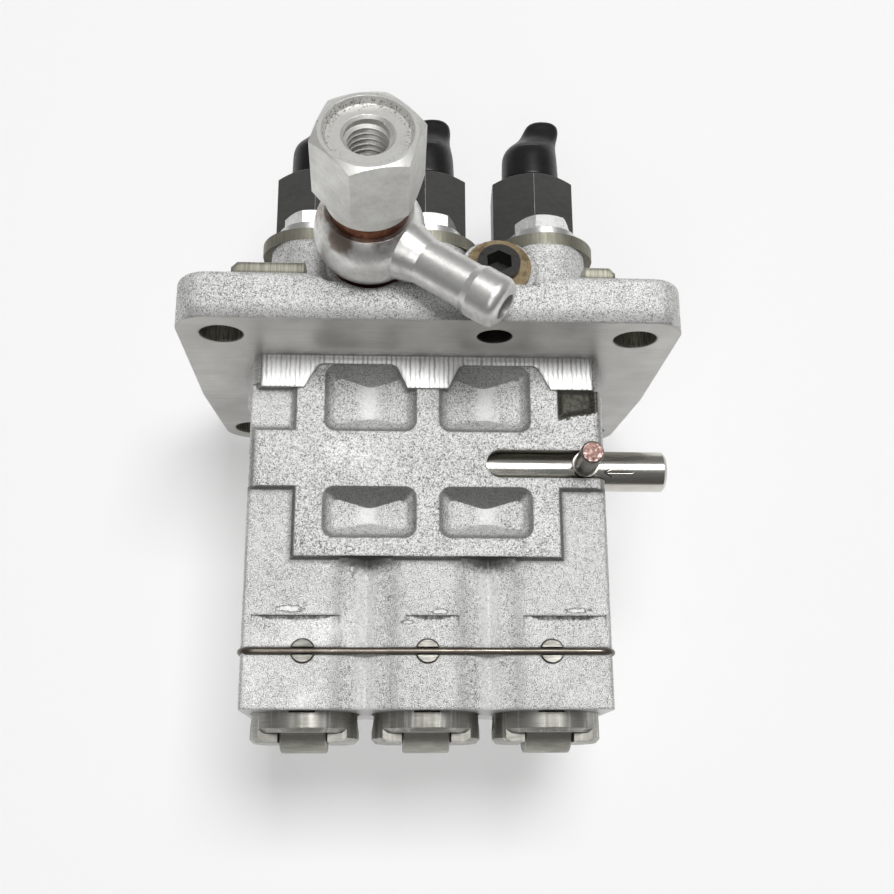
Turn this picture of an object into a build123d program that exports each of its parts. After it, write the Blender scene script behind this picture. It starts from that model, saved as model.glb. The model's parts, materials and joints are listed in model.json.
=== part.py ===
from build123d import *
from math import asin, cos, pi, radians, sin, sqrt, tan
import os

# In-line diesel injection pump with one pumping element per engine cylinder.
# Millimetres. Origin: middle of the plunger row, on the flange's mating face.
# +X runs along the plunger row, +Y to the back, +Z up to the delivery side.

# ---- Overall layout -------------------------------------------------------
PITCH = 25.0                # spacing of the pumping elements
CYLINDERS = 3
FIT_GAP = 0.05              # radial clearance of a guided or seated piece
RUN_GAP = 0.04              # radial clearance of a turning or sliding fit
OVERCUT = 1.0               # how far a cut runs past the surface it opens

# ---- Flange ---------------------------------------------------------------
FLANGE_FRONT_HALF = 51.5    # half length in front
FLANGE_BACK_HALF = 49.0     # half length at the back edge
FLANGE_FRONT = 35.3         # plunger row to the front edge
FLANGE_BACK = 45.0
FLANGE_TAPER_FROM = 11.0    # the ends draw in behind this line
FLANGE_THICK = 10.3
FLANGE_FRONT_CORNER = 6.5
FLANGE_BACK_CORNER = 7.5
FLANGE_EDGE = 1.6           # cast rounding of the upper edge
EDGE_DROP = 2.3             # the front edge is cast lower below the fuel ports
EDGE_DROP_DEPTH = 8.5
EDGE_DROP_PROFILE = ((-25.3, 0), (-20.5, 1), (20.0, 1), (28.0, 0))
MOUNT_SPACING_X = 85.0
MOUNT_SPACING_Y = 62.7
MOUNT_MID_Y = 4.85
MOUNT_HOLE_D = 9.0
DRAIN_HOLE_D = 7.2
DRAIN_HOLE_X = 13.3
DRAIN_HOLE_Y = -27.0
DRAIN_HOLE_DEPTH = 7.0
PAD_SPANS = ((-40.2, -25.3), (31.0, 37.5))   # milled pads on the front edge
PAD_HEIGHT = 2.3
PAD_SETBACK = 1.5
PAD_DEPTH = 8.0
PAD_BEVEL = 1.2

# ---- Spigot that enters the engine's opening --------------------------------
SPIGOT_DEPTH = 7.2
SPIGOT_FRONT = 15.4         # plunger row to the machined front band
SPIGOT_FACE_HALF = 35.2     # half width of the flat band
SPIGOT_HALF = 39.6          # the rounded ends reach this far
WINDOW_TOP = -1.9           # the band is cut away above each upper pocket
WINDOW_TOP_INNER = 6.8
WINDOW_TOP_OUTER = 23.3
WINDOW_FOOT_INNER = 4.4
WINDOW_FOOT_OUTER = 26.3
WINDOW_RADIUS = 2.0

# ---- Lower body -----------------------------------------------------------
BODY_END_WALL = 1.25        # wall outside the last tappet bore
BODY_FRONT = 14.9           # plunger row to the raised rail and ribs
BODY_BACK = 16.0
BODY_HEIGHT = 74.0
BODY_CORNER = 2.5
RELIEF = 0.8                # step from the raised frame to the cast face
RAIL_TOP = -16.8
RAIL_BOTTOM = -28.7
FRAME_HALF = 27.3           # half width of the raised centre frame
FRAME_BOTTOM = -43.4
POCKET_INNER = 2.3          # pocket edges, measured from the centre line
POCKET_OUTER = 21.9
POCKET_RADIUS = 2.0
POCKET_CORE_RADIUS = 0.6    # corner radius left at the deepest section
UPPER_POCKET_TOP = -1.9
LOWER_POCKET_BOTTOM = -39.7
POCKET_SIDE_DEPTH = 1.3     # the pocket floor is a soft valley
POCKET_VALLEY_DEPTH = 4.0
POCKET_VALLEY_RADIUS = 6.0
RECESS_INNER = -27.6        # shallow recess beside the frame, left of it
RECESS_DEPTH = 1.5
NOTCH_INNER = 27.6          # the same recess on the right, filled lower down
NOTCH_OUTER = 36.0
NOTCH_LOW = -13.4
NOTCH_HIGH = -12.2
FLUTE_HALF = 5.5            # hollows between the tappet bores
FLUTE_DEPTH = 2.0
FLUTE_BULGE = 0.35          # the flanks stand out from a straight line by this
CREASE_RISE = 18.6          # small parting ledges above the lower edge
CREASE_STEP = 0.45
CREASE_FADE = 3.0
CREASE_SPANS = ((-35.5, -17.8), (-4.5, 6.3), (19.4, 36.3))

# ---- Head above the flange --------------------------------------------------
HEAD_TOP = 21.3             # clamping face for the barrel flanges
HEAD_WALL = 2.6             # cast wall around a barrel bore
BOLT_BOSS_D = 17.5
CLAMP_BOLT_Y = 18.5         # clamping bolts in front of and behind each barrel
PORT_TILT = 13.5            # both fuel ports point forward and this much upward

# ---- Barrels and plungers ---------------------------------------------------
THREAD_D = 16.0             # delivery holder thread in the barrel
BARREL_WALL = 2.45          # wall round the thread
BARREL_HEAD_BOTTOM = -4.0
BARREL_NOSE_D = 10.9
BARREL_NOSE_BOTTOM = -34.0
BARREL_FLANGE_THICK = 2.75
BARREL_FLANGE_WIDTH = 21.4
BARREL_FLANGE_ARC = 10.9    # radius of its rounded ends
BARREL_FLANGE_HALF = 27.0
ORING_WIRE = 2.0
ORING_LEVEL = 16.0
GALLERY_LEVEL = 8.0         # fuel gallery and spill ports
GALLERY_HEIGHT = 5.0
GALLERY_DEPTH = 1.4         # groove turned in the barrel head
SPILL_PORT_D = 2.5
PLUNGER_D = 6.0
PLUNGER_TOP = 5.6           # at the bottom of the stroke, just below the port
PLUNGER_FOOT_D = 9.0
PLUNGER_FOOT_HEIGHT = 2.0
HELIX_DEPTH = 0.9
HELIX_TOP_LAND = 2.0
HELIX_SPAN = 7.0
HELIX_RISE = 2.8            # the slanted edge climbs from here to the land
HELIX_SLOT = 1.2            # width of the slot that joins it to the top
VANE_RISE = 11.5            # control vane above the plunger's foot
VANE_HEIGHT = 3.0
VANE_WIDTH = 3.6
VANE_INSET = 0.2            # vane ends inside the sleeve's outside
LIFT = 7.0                  # cam lift of the tappets

# ---- Control rack and sleeves ---------------------------------------------------
RACK_D = 8.6
RACK_Z = -23.6
RACK_BITE = 2.6             # how far the rack's round reaches past the pitch line
RACK_RIGHT = 50.9
RACK_LEFT = -30.5
RACK_CHAMFER = 0.6
RACK_FLAT_RIGHT = 42.5      # the flat that clears the sleeves ends here
RACK_TRAVEL_IN = 10.0
TEETH_PER_PITCH = 10        # rack teeth between neighbouring plungers
SLEEVE_TEETH = 19
PRESSURE_ANGLE = 20.0
BACKLASH = 0.16
TIP_CLEARANCE = 0.25        # root clearance, in modules
TEETH_EACH_SIDE = 5         # sleeve teeth to each side of the front one
TOOTH_ROOT_LAP = 0.3        # how far a tooth is rooted in the sleeve
SLEEVE_D = 12.9
SLEEVE_TOP = -16.0
SLEEVE_RISE = 10.0          # lower end above the tappet
SLEEVE_SLOT_LENGTH = 12.0
GEAR_HEIGHT = 6.4
GEAR_SPACE = 0.5            # room round the sleeve's teeth
RACK_SLOT_LEFT = 12.3       # inner end of the milled slot for the rack pin
RACK_SLOT_HEIGHT = 6.1
RACK_PIN_D = 4.8
RACK_PIN_ROOT_D = 4.0
RACK_PIN_COLLAR_D = 5.6
RACK_PIN_X = 33.2
RACK_PIN_END = -24.0
RACK_PIN_CHAMFER = 0.3
RACK_PIN_SHOULDER = 0.1     # the collar stands this far out of the body

# ---- Springs and seats ----------------------------------------------------------
SEAT_THICK = 1.5
SEAT_LIP = 0.3              # the lower seat is wider than the spring by this
UPPER_SEAT_TOP = -29.3
SPRING_D = 18.4
SPRING_WIRE = 2.2
SPRING_COILS = 5
WIRE_SIDES = 8              # facets of a spring wire

# ---- Tappets ----------------------------------------------------------------------
TAPPET_D = 22.4
TAPPET_DROP = 4.1           # stands this far out of the body
TAPPET_HEIGHT = 20.1
TAPPET_CHAMFER = 0.8
EAR_DROP = 1.8
EAR_WIDTH = 13.6
ROLLER_D = 14.6
ROLLER_WIDTH = 9.6
ROLLER_GAP = 0.2            # side clearance of the roller in its fork
ROLLER_EDGE = 0.5
ROLLER_DROP = 0.5           # roller axis below the body
ROLLER_PIN_D = 6.0
ROLLER_PIN_INSET = 0.7      # pin ends inside the tappet's outer diameter
GUIDE_PIN_D = 4.5
GUIDE_PIN_RISE = 11.4       # above the body's lower edge
GUIDE_GROOVE_GAP = 0.4      # groove side clearance on the guide pin
GUIDE_GROOVE_DEPTH = 2.4
GUIDE_GROOVE_OVERRUN = 2.5  # the groove is longer than the stroke
WIRE_D = 1.5
WIRE_SIDE = 11.0            # length of each end bent round the side
WIRE_BEND = 2.6

# ---- Delivery valves and holders ---------------------------------------------------
SEAT_BOTTOM = 13.2
VALVE_SEAT_D = 14.6
VALVE_SEAT_HEIGHT = 4.0
VALVE_D = 5.6
VALVE_STEM_INSET = 0.4      # the stem ends above the seat's lower face
VALVE_CORE_R = 1.4          # what the three flutes leave
VALVE_FLUTE = 1.8
VALVE_COLLAR = 1.0          # unfluted part of the stem
VALVE_HEAD_D = 7.2
VALVE_HEAD_HEIGHT = 2.2
GASKET_THICK = 1.0
HOLDER_HEX = 18.5
HOLDER_TURN = 27.7
HOLDER_GAP = 0.25           # between the hexagon and the barrel flange
HOLDER_HEX_TOP = 49.7
HOLDER_BEVEL = 30.0         # turned bevel of its upper corners
HOLDER_CHAMBER_D = 9.4
HOLDER_CHAMBER_TOP = 34.0
OUTLET_THREAD_D = 12.0
OUTLET_LENGTH = 8.2
OUTLET_BORE_D = 3.0
OUTLET_CONE_D = 7.0
OUTLET_CONE_HALF_ANGLE = 30.0
VALVE_SPRING_D = 7.4
VALVE_SPRING_WIRE = 1.0
VALVE_SPRING_COILS = 5
CAP_WALL = 0.75
CAP_TOP = 67.3
CAP_FIN_WIDTH = 8.2
CAP_FIN_THICK = 3.4
CAP_FIN_HEIGHT = 3.4
CAP_LEAN = 3.1              # the pinched top leans to the right

# ---- Clamping bolts -------------------------------------------------------------------
BOLT_THREAD_D = 6.0
BOLT_HEX = 10.8
BOLT_HEAD_HEIGHT = 3.8
BOLT_LENGTH = 12.0
BOLT_TURN = 10.0
BOLT_BEVEL = 0.4
WASHER_D = 14.7
WASHER_THICK = 2.0
BOLT_HOLE_GAP = 0.5

# ---- Fuel ports --------------------------------------------------------------------------
INLET_X = -12.5
INLET_FACE_Y = -30.0
INLET_FACE_Z = 15.4
INLET_BOSS_D = 18.0
INLET_BOSS_LENGTH = 14.0
INLET_SCOOP_D = 19.6        # the flange edge is hollowed round the banjo eye
INLET_SHANK_D = 12.0
INLET_SHANK_DEPTH = 9.0
INLET_DRILL_DEPTH = 21.0    # from the face to the fuel gallery
COPPER_D = 15.8
COPPER_THICK = 1.5
COPPER_PAIR = 2             # sealing washers stacked on each side of the eye
EYE_D = 22.2
EYE_HEIGHT = 12.7
EYE_LAND_D = 17.6
EYE_GROOVE = 1.2
EYE_GROOVE_HEIGHT = 6.0
UNION_HEX = 19.0
UNION_HEX_HEIGHT = 14.8
UNION_HEX_FACE = 0.97       # turned end faces, as a share of the flats
UNION_BEVEL = 30.0
UNION_COLLAR_D = 17.0
UNION_COLLAR_HEIGHT = 3.1
UNION_TURN = 13.0
UNION_THREAD_D = 9.1
UNION_THREAD_DEPTH = 16.0
UNION_MOUTH_D = 10.2
UNION_COUNTERBORE_D = 15.6
UNION_COUNTERBORE_MOUTH_D = 17.0
UNION_COUNTERBORE_DEPTH = 1.4
UNION_BORE_D = 6.0
UNION_CROSS_D = 4.0
DRILL_HALF_ANGLE = 59.0
NIPPLE_D = 9.6
NIPPLE_ROOT_D = 12.4        # flare where it leaves the eye
NIPPLE_BARB_D = 10.7
NIPPLE_BARB_LENGTH = 4.0
NIPPLE_BARB_RAMP = 1.5
NIPPLE_TIP_LENGTH = 2.5
NIPPLE_TIP_RADIUS = 2.2
NIPPLE_BORE_D = 5.4
NIPPLE_LENGTH = 32.3        # from the eye's axis
NIPPLE_DROP = 35.2          # angle below the horizontal
PLUG_X = 14.2
PLUG_FACE_Y = -28.0
PLUG_FACE_Z = 14.6
PLUG_BOSS_D = 16.0
PLUG_BOSS_LENGTH = 11.0
PLUG_WASHER_D = 13.5
PLUG_WASHER_THICK = 1.4
PLUG_HEAD_D = 8.8
PLUG_HEAD_HEIGHT = 1.6
PLUG_THREAD_D = 8.0
PLUG_DEPTH = 7.0
PLUG_DRILL_DEPTH = 16.5
PLUG_SOCKET = 5.0
PLUG_SOCKET_DEPTH = 4.0

# ---- Worked out from the values above -----------------------------------------------------
COLUMNS = [(i - (CYLINDERS - 1) / 2) * PITCH for i in range(CYLINDERS)]
ROW_HALF = COLUMNS[-1]
TAPPET_BORE_R = TAPPET_D / 2 + RUN_GAP
BODY_HALF = ROW_HALF + TAPPET_BORE_R + BODY_END_WALL
BODY_BOTTOM = -BODY_HEIGHT
CAST_FRONT = BODY_FRONT - RELIEF
CREASE_LEVEL = BODY_BOTTOM + CREASE_RISE
BARREL_HEAD_D = THREAD_D + 2 * BARREL_WALL
BARREL_BORE_R = BARREL_HEAD_D / 2 + FIT_GAP
PLATE_TOP = HEAD_TOP + BARREL_FLANGE_THICK
TOOTH_PITCH = PITCH / TEETH_PER_PITCH
MODULE = TOOTH_PITCH / pi
GEAR_R = SLEEVE_TEETH * MODULE / 2
GEAR_TIP_R = GEAR_R + MODULE
GEAR_ROOT_R = GEAR_R - (1 + TIP_CLEARANCE) * MODULE
SLEEVE_BORE_R = GEAR_TIP_R + GEAR_SPACE
RACK_Y = -(GEAR_R + RACK_D / 2 - RACK_BITE)
RACK_TIP_Y = -(GEAR_R - MODULE)
RACK_ROOT_Y = -(GEAR_R + (1 + TIP_CLEARANCE) * MODULE)
TAPPET_BOTTOM = BODY_BOTTOM - TAPPET_DROP
TAPPET_TOP = TAPPET_BOTTOM + TAPPET_HEIGHT
ROLLER_Z = BODY_BOTTOM - ROLLER_DROP
GUIDE_PIN_Z = BODY_BOTTOM + GUIDE_PIN_RISE
VANE_LEVEL = TAPPET_TOP + VANE_RISE
SLEEVE_BOTTOM = TAPPET_TOP + SLEEVE_RISE
SPRING_BOTTOM = TAPPET_TOP + SEAT_THICK
SPRING_TOP = UPPER_SEAT_TOP - SEAT_THICK
BOLT_HEAD_BOTTOM = PLATE_TOP + WASHER_THICK
BOLT_HOLE_R = BOLT_THREAD_D / 2 + BOLT_HOLE_GAP
HOLDER_HEX_BOTTOM = PLATE_TOP + HOLDER_GAP
HOLDER_SHANK_BOTTOM = SEAT_BOTTOM + VALVE_SEAT_HEIGHT + GASKET_THICK
OUTLET_TOP = HOLDER_HEX_TOP + OUTLET_LENGTH
PORT_AXIS = Vector(0, -cos(radians(PORT_TILT)), sin(radians(PORT_TILT)))
INLET = Plane(origin=(INLET_X, INLET_FACE_Y, INLET_FACE_Z), x_dir=(1, 0, 0), z_dir=PORT_AXIS)
PLUG = Plane(origin=(PLUG_X, PLUG_FACE_Y, PLUG_FACE_Z), x_dir=(1, 0, 0), z_dir=PORT_AXIS)
COPPER_STACK = COPPER_PAIR * COPPER_THICK
EYE_BOTTOM = COPPER_STACK
EYE_TOP = EYE_BOTTOM + EYE_HEIGHT
EYE_MIDDLE = (EYE_BOTTOM + EYE_TOP) / 2
EYE_BORE_R = INLET_SHANK_D / 2 + 2 * FIT_GAP
COLLAR_BOTTOM = EYE_TOP + COPPER_STACK
UNION_HEX_BOTTOM = COLLAR_BOTTOM + UNION_COLLAR_HEIGHT
UNION_TOP = UNION_HEX_BOTTOM + UNION_HEX_HEIGHT


# ---- Small helpers ---------------------------------------------------------------------------
def rod(radius, low, high):
    """Vertical cylinder between two levels."""
    return extrude(Pos(0, 0, low) * Circle(radius), high - low)


def ring(outer, inner, low, high):
    """Vertical ring between two levels."""
    return rod(outer, low, high) - rod(inner, low, high)


def hexagon(across, low, high, turn=0.0):
    """Vertical hexagonal prism; turn 0 puts a corner on the X axis."""
    flat = RegularPolygon(across / 2, 6, major_radius=False)
    return extrude(Pos(0, 0, low) * Rot(0, 0, turn) * flat, high - low)


def cone(low_radius, high_radius, low, high):
    """Vertical cone frustum between two levels."""
    height = high - low
    return Pos(0, 0, low + height / 2) * Cone(low_radius, high_radius, height)


def block(x0, x1, y0, y1, z0, z1):
    """Box given by its two corners."""
    size = Box(x1 - x0, y1 - y0, z1 - z0)
    return Pos((x0 + x1) / 2, (y0 + y1) / 2, (z0 + z1) / 2) * size


def along_x(radius, x0, x1, y, z):
    """Cylinder along X."""
    plane = Plane(origin=(x0, y, z), z_dir=(1, 0, 0))
    return extrude(plane * Circle(radius), x1 - x0)


def along_y(radius, y0, y1, x, z):
    """Cylinder along Y."""
    plane = Plane(origin=(x, y0, z), x_dir=(1, 0, 0), z_dir=(0, 1, 0))
    return extrude(plane * Circle(radius), y1 - y0)


def front_plane(y):
    """Upright plane facing the front, drawn on in X and Z."""
    return Plane(origin=(0, y, 0), x_dir=(1, 0, 0), z_dir=(0, -1, 0))


def polygon(*points):
    """Closed straight-sided face."""
    return make_face(Polyline(*points, close=True))


def at_each_column(piece):
    """Copies of a piece at every pumping element."""
    return [Pos(x, 0, 0) * piece for x in COLUMNS]


def coil_spring(diameter, wire, coils, low, high):
    """Closed coil spring standing between two levels."""
    radius = (diameter - wire) / 2
    lead = (high - low - wire) / coils
    path = Helix(lead, high - low - wire, radius)
    section = Plane(origin=path @ 0, z_dir=path % 0) * RegularPolygon(wire / 2, WIRE_SIDES)
    return Pos(0, 0, low + wire / 2) * sweep(section, path, is_frenet=True)


# ---- Housing ------------------------------------------------------------------------------------
def flange_plate():
    """Mounting flange, narrower at the back, machined below and cast above."""
    front = FLANGE_FRONT_HALF
    back = FLANGE_BACK_HALF
    outline = polygon(
        (-front, -FLANGE_FRONT), (front, -FLANGE_FRONT), (front, FLANGE_TAPER_FROM),
        (back, FLANGE_BACK), (-back, FLANGE_BACK), (-front, FLANGE_TAPER_FROM))
    outline = fillet(outline.vertices().group_by(Axis.Y)[0], FLANGE_FRONT_CORNER)
    outline = fillet(outline.vertices().group_by(Axis.Y)[-1], FLANGE_BACK_CORNER)
    plate = extrude(outline, FLANGE_THICK)
    plate = fillet(plate.edges().group_by(Axis.Z)[-1], FLANGE_EDGE)
    return plate - edge_drop()


def edge_drop():
    """Lower stretch of the flange's front edge, with ramps at both ends."""
    floor = [(x, FLANGE_THICK - drop * EDGE_DROP) for x, drop in EDGE_DROP_PROFILE]
    above = FLANGE_THICK + OVERCUT
    face = polygon(*floor, (floor[-1][0], above), (floor[0][0], above))
    return extrude(front_plane(-FLANGE_FRONT + EDGE_DROP_DEPTH) * face, EDGE_DROP_DEPTH + OVERCUT)


def flange_pads():
    """Milled pads on the flange's front edge, bevelled at their outer ends."""
    pads = []
    front = -FLANGE_FRONT + PAD_SETBACK
    for x0, x1 in PAD_SPANS:
        pad = block(x0, x1, front, front + PAD_DEPTH, 0, FLANGE_THICK + PAD_HEIGHT)
        ends = pad.edges().filter_by(Axis.Y).group_by(Axis.Z)[-1].sort_by(Axis.X)
        pads.append(chamfer(ends[0] if x0 < 0 else ends[-1], PAD_BEVEL))
    return pads


def body_block():
    """Tall block that carries the plungers and tappets."""
    outline = Pos(0, (BODY_BACK - BODY_FRONT) / 2) * RectangleRounded(
        2 * BODY_HALF, BODY_FRONT + BODY_BACK, BODY_CORNER)
    return extrude(Pos(0, 0, BODY_BOTTOM) * outline, BODY_HEIGHT)


def spigot():
    """Machined collar with rounded ends that centres the pump in the engine."""
    half = SPIGOT_FACE_HALF
    front = Line((-half, -SPIGOT_FRONT), (half, -SPIGOT_FRONT))
    right = ThreePointArc((half, -SPIGOT_FRONT), (SPIGOT_HALF, 0), (half, BODY_BACK))
    back = Line((half, BODY_BACK), (-half, BODY_BACK))
    left = ThreePointArc((-half, BODY_BACK), (-SPIGOT_HALF, 0), (-half, -SPIGOT_FRONT))
    outline = make_face([front, right, back, left])
    solid = extrude(Pos(0, 0, -SPIGOT_DEPTH) * outline, SPIGOT_DEPTH)
    window = spigot_window()
    return solid - window - mirror(window, Plane.YZ)


def spigot_window():
    """Opening cut through the front band above the right upper pocket."""
    slope = (WINDOW_FOOT_OUTER - WINDOW_TOP_OUTER) / (SPIGOT_DEPTH + WINDOW_TOP)
    flare = slope * OVERCUT
    low = -SPIGOT_DEPTH - OVERCUT
    face = polygon(
        (WINDOW_FOOT_INNER - flare, low), (WINDOW_FOOT_OUTER + flare, low),
        (WINDOW_TOP_OUTER, WINDOW_TOP), (WINDOW_TOP_INNER, WINDOW_TOP))
    face = fillet(face.vertices().group_by(Axis.Y)[-1], WINDOW_RADIUS)
    deep = -BODY_FRONT + POCKET_VALLEY_DEPTH + OVERCUT
    return extrude(front_plane(deep) * face, SPIGOT_FRONT + deep + OVERCUT)


def sunk_field(outline, depth):
    """Field sunk below the raised front, with ledges sloping at 45 degrees."""
    mouth = front_plane(-BODY_FRONT - OVERCUT) * outline(-OVERCUT)
    floor = front_plane(-BODY_FRONT + depth) * outline(depth)
    return loft([mouth, floor], ruled=True)


def lower_outline(ledge):
    """Field round the centre frame, below the rail."""
    wide = BODY_HALF + 2 * OVERCUT
    half = FRAME_HALF + ledge
    rail = RAIL_BOTTOM - ledge
    bottom = FRAME_BOTTOM - ledge
    base = BODY_BOTTOM - OVERCUT
    return polygon(
        (-wide, rail), (-half, rail), (-half, bottom), (half, bottom),
        (half, rail), (wide, rail), (wide, base), (-wide, base))


def recess_outline(ledge):
    """Recess beside the frame, open to the left end."""
    wide = -BODY_HALF - 2 * OVERCUT
    inner = RECESS_INNER - ledge
    low = RAIL_TOP + ledge
    high = -SPIGOT_DEPTH + OVERCUT
    return polygon((wide, low), (inner, low), (inner, high), (wide, high))


def notch_outline(ledge):
    """What is left open of the recess on the right."""
    inner = NOTCH_INNER + ledge
    outer = NOTCH_OUTER - ledge
    high = -SPIGOT_DEPTH + OVERCUT
    return polygon((inner, NOTCH_LOW + ledge), (outer, NOTCH_HIGH + ledge), (outer, high), (inner, high))


def pocket(x0, x1, z0, z1):
    """Cast pocket with sloping walls and a valley floor."""
    middle = (x0 + x1) / 2
    centre = Pos(middle, (z0 + z1) / 2)
    width = x1 - x0
    height = z1 - z0
    mouth = centre * RectangleRounded(width + 2 * OVERCUT, height + 2 * OVERCUT, POCKET_RADIUS + OVERCUT)
    inset = POCKET_VALLEY_DEPTH
    core = centre * RectangleRounded(width - 2 * inset, height - 2 * inset, POCKET_CORE_RADIUS)
    shape = loft([front_plane(-BODY_FRONT - OVERCUT) * mouth, front_plane(-BODY_FRONT + inset) * core],
                 ruled=True)
    ahead = -BODY_FRONT - 2 * OVERCUT
    side = -BODY_FRONT + POCKET_SIDE_DEPTH
    floor = polygon(
        (x0 - OVERCUT, ahead), (x1 + OVERCUT, ahead), (x1 + OVERCUT, side),
        (middle, -BODY_FRONT + POCKET_VALLEY_DEPTH), (x0 - OVERCUT, side))
    floor = fillet(floor.vertices().group_by(Axis.Y)[-1], POCKET_VALLEY_RADIUS)
    return shape & extrude(Pos(0, 0, z0 - 2 * OVERCUT) * floor, height + 4 * OVERCUT)


def crease(x0, x1):
    """Small step that fades out below."""
    face = -CAST_FRONT
    profile = polygon(
        (face - OVERCUT, CREASE_LEVEL), (face + CREASE_STEP, CREASE_LEVEL),
        (face, CREASE_LEVEL - CREASE_FADE), (face - OVERCUT, CREASE_LEVEL - CREASE_FADE))
    plane = Plane(origin=(x0, 0, 0), x_dir=(0, 1, 0), z_dir=(1, 0, 0))
    return extrude(plane * profile, x1 - x0)


def flute(middle, wall, inward):
    """Shallow V-shaped hollow with convex flanks between two tappet bores."""
    quarter = FLUTE_HALF / 2
    waist = wall + inward * (FLUTE_DEPTH / 2 - FLUTE_BULGE)
    valley = (middle, wall + inward * FLUTE_DEPTH)
    left = (middle - FLUTE_HALF, wall)
    right = (middle + FLUTE_HALF, wall)
    outside = wall - inward * OVERCUT
    rim = Polyline(right, (right[0], outside), (left[0], outside), left)
    face = make_face([
        ThreePointArc(left, (middle - quarter, waist), valley),
        ThreePointArc(valley, (middle + quarter, waist), right), rim])
    low = BODY_BOTTOM - OVERCUT
    return extrude(Pos(0, 0, low) * face, FRAME_BOTTOM - low)


def body_cuts():
    """Everything that is sunk into the lower body's front and back."""
    cuts = [sunk_field(lower_outline, RELIEF)]
    cuts.append(sunk_field(recess_outline, RECESS_DEPTH))
    cuts.append(sunk_field(notch_outline, RECESS_DEPTH))
    for side in (-1, 1):
        near, far = sorted((side * POCKET_INNER, side * POCKET_OUTER))
        cuts.append(pocket(near, far, RAIL_TOP, UPPER_POCKET_TOP))
        cuts.append(pocket(near, far, LOWER_POCKET_BOTTOM, RAIL_BOTTOM))
    for left in COLUMNS[:-1]:
        cuts.append(flute(left + PITCH / 2, -CAST_FRONT, 1))
        cuts.append(flute(left + PITCH / 2, BODY_BACK, -1))
    return cuts + [crease(x0, x1) for x0, x1 in CREASE_SPANS]


def head_casting():
    """Bosses above the flange for the barrels, the clamping bolts and the fuel ports."""
    wall = BARREL_BORE_R + HEAD_WALL
    half = ROW_HALF + wall
    boss = BOLT_BOSS_D / 2
    head = extrude(SlotOverall(2 * half, 2 * wall), HEAD_TOP)
    for x in COLUMNS:
        for side in (-1, 1):
            near, far = sorted((0, side * CLAMP_BOLT_Y))
            head += Pos(x, side * CLAMP_BOLT_Y, 0) * rod(boss, 0, HEAD_TOP)
            head += block(x - boss, x + boss, near, far, 0, HEAD_TOP)
    head += INLET * rod(INLET_BOSS_D / 2, -INLET_BOSS_LENGTH, 0)
    head += PLUG * rod(PLUG_BOSS_D / 2, -PLUG_BOSS_LENGTH, 0)
    return head - block(-half, half, -BARREL_FLANGE_HALF, BARREL_FLANGE_HALF, HEAD_TOP, HEAD_TOP + wall)


def port_clearances():
    """Hollows in the flange's front edge for the banjo eye and the plug."""
    scoop = INLET * rod(INLET_SCOOP_D / 2, 0, EYE_TOP)
    plug = PLUG * rod(PLUG_BOSS_D / 2, 0, EYE_TOP)
    return [scoop, plug]


def housing_bores():
    """Bores of one pumping element, from the tappet up to the barrel head."""
    bore = rod(TAPPET_BORE_R, BODY_BOTTOM - OVERCUT, UPPER_SEAT_TOP)
    bore += rod(SLEEVE_BORE_R, UPPER_SEAT_TOP, BARREL_HEAD_BOTTOM)
    bore += rod(BARREL_BORE_R, BARREL_HEAD_BOTTOM, HEAD_TOP + OVERCUT)
    for side in (-1, 1):
        hole = rod(BOLT_THREAD_D / 2 + FIT_GAP, HEAD_TOP - BOLT_LENGTH - OVERCUT, HEAD_TOP + OVERCUT)
        bore += Pos(0, side * CLAMP_BOLT_Y, 0) * hole
    return bore


def cross_bores():
    """Rack bore and slot, guide pin bores, fuel gallery and port bores."""
    outside = BODY_HALF + 2 * OVERCUT
    ahead = -BODY_FRONT - OVERCUT
    cuts = [along_x(RACK_D / 2 + RUN_GAP, -outside, outside, RACK_Y, RACK_Z)]
    half = RACK_SLOT_HEIGHT / 2
    slot_end = RACK_SLOT_LEFT + half
    cuts.append(block(slot_end, outside, ahead, RACK_Y, RACK_Z - half, RACK_Z + half))
    cuts.append(along_y(half, ahead, RACK_Y, slot_end, RACK_Z))
    for x in COLUMNS:
        cuts.append(along_y(GUIDE_PIN_D / 2 + FIT_GAP, ahead, 0, x, GUIDE_PIN_Z))
    cuts.append(along_x(GALLERY_HEIGHT / 2, -ROW_HALF, ROW_HALF, -BARREL_BORE_R, GALLERY_LEVEL))
    cuts.append(INLET * rod(INLET_SHANK_D / 2 + FIT_GAP, -INLET_SHANK_DEPTH - OVERCUT, OVERCUT))
    cuts.append(INLET * rod(UNION_BORE_D / 2, -INLET_DRILL_DEPTH, OVERCUT))
    cuts.append(PLUG * rod(PLUG_THREAD_D / 2 + FIT_GAP, -PLUG_DRILL_DEPTH, OVERCUT))
    return cuts


def flange_holes():
    """Four mounting holes and the leak-off drain."""
    holes = [Pos(DRAIN_HOLE_X, DRAIN_HOLE_Y, 0) * rod(DRAIN_HOLE_D / 2, -OVERCUT, DRAIN_HOLE_DEPTH)]
    hole = rod(MOUNT_HOLE_D / 2, -OVERCUT, FLANGE_THICK + PAD_HEIGHT + OVERCUT)
    for sx in (-1, 1):
        for sy in (-1, 1):
            holes.append(Pos(sx * MOUNT_SPACING_X / 2, MOUNT_MID_Y + sy * MOUNT_SPACING_Y / 2, 0) * hole)
    return holes


def wire_sweep(diameter):
    """Round bar along the retaining wire's centre line, round the front of the body."""
    front = -CAST_FRONT
    back = front + WIRE_SIDE
    path = FilletPolyline(
        (-BODY_HALF, back, GUIDE_PIN_Z), (-BODY_HALF, front, GUIDE_PIN_Z),
        (BODY_HALF, front, GUIDE_PIN_Z), (BODY_HALF, back, GUIDE_PIN_Z), radius=WIRE_BEND)
    section = Plane(origin=path @ 0, z_dir=path % 0) * Circle(diameter / 2)
    return sweep(section, path)


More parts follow.
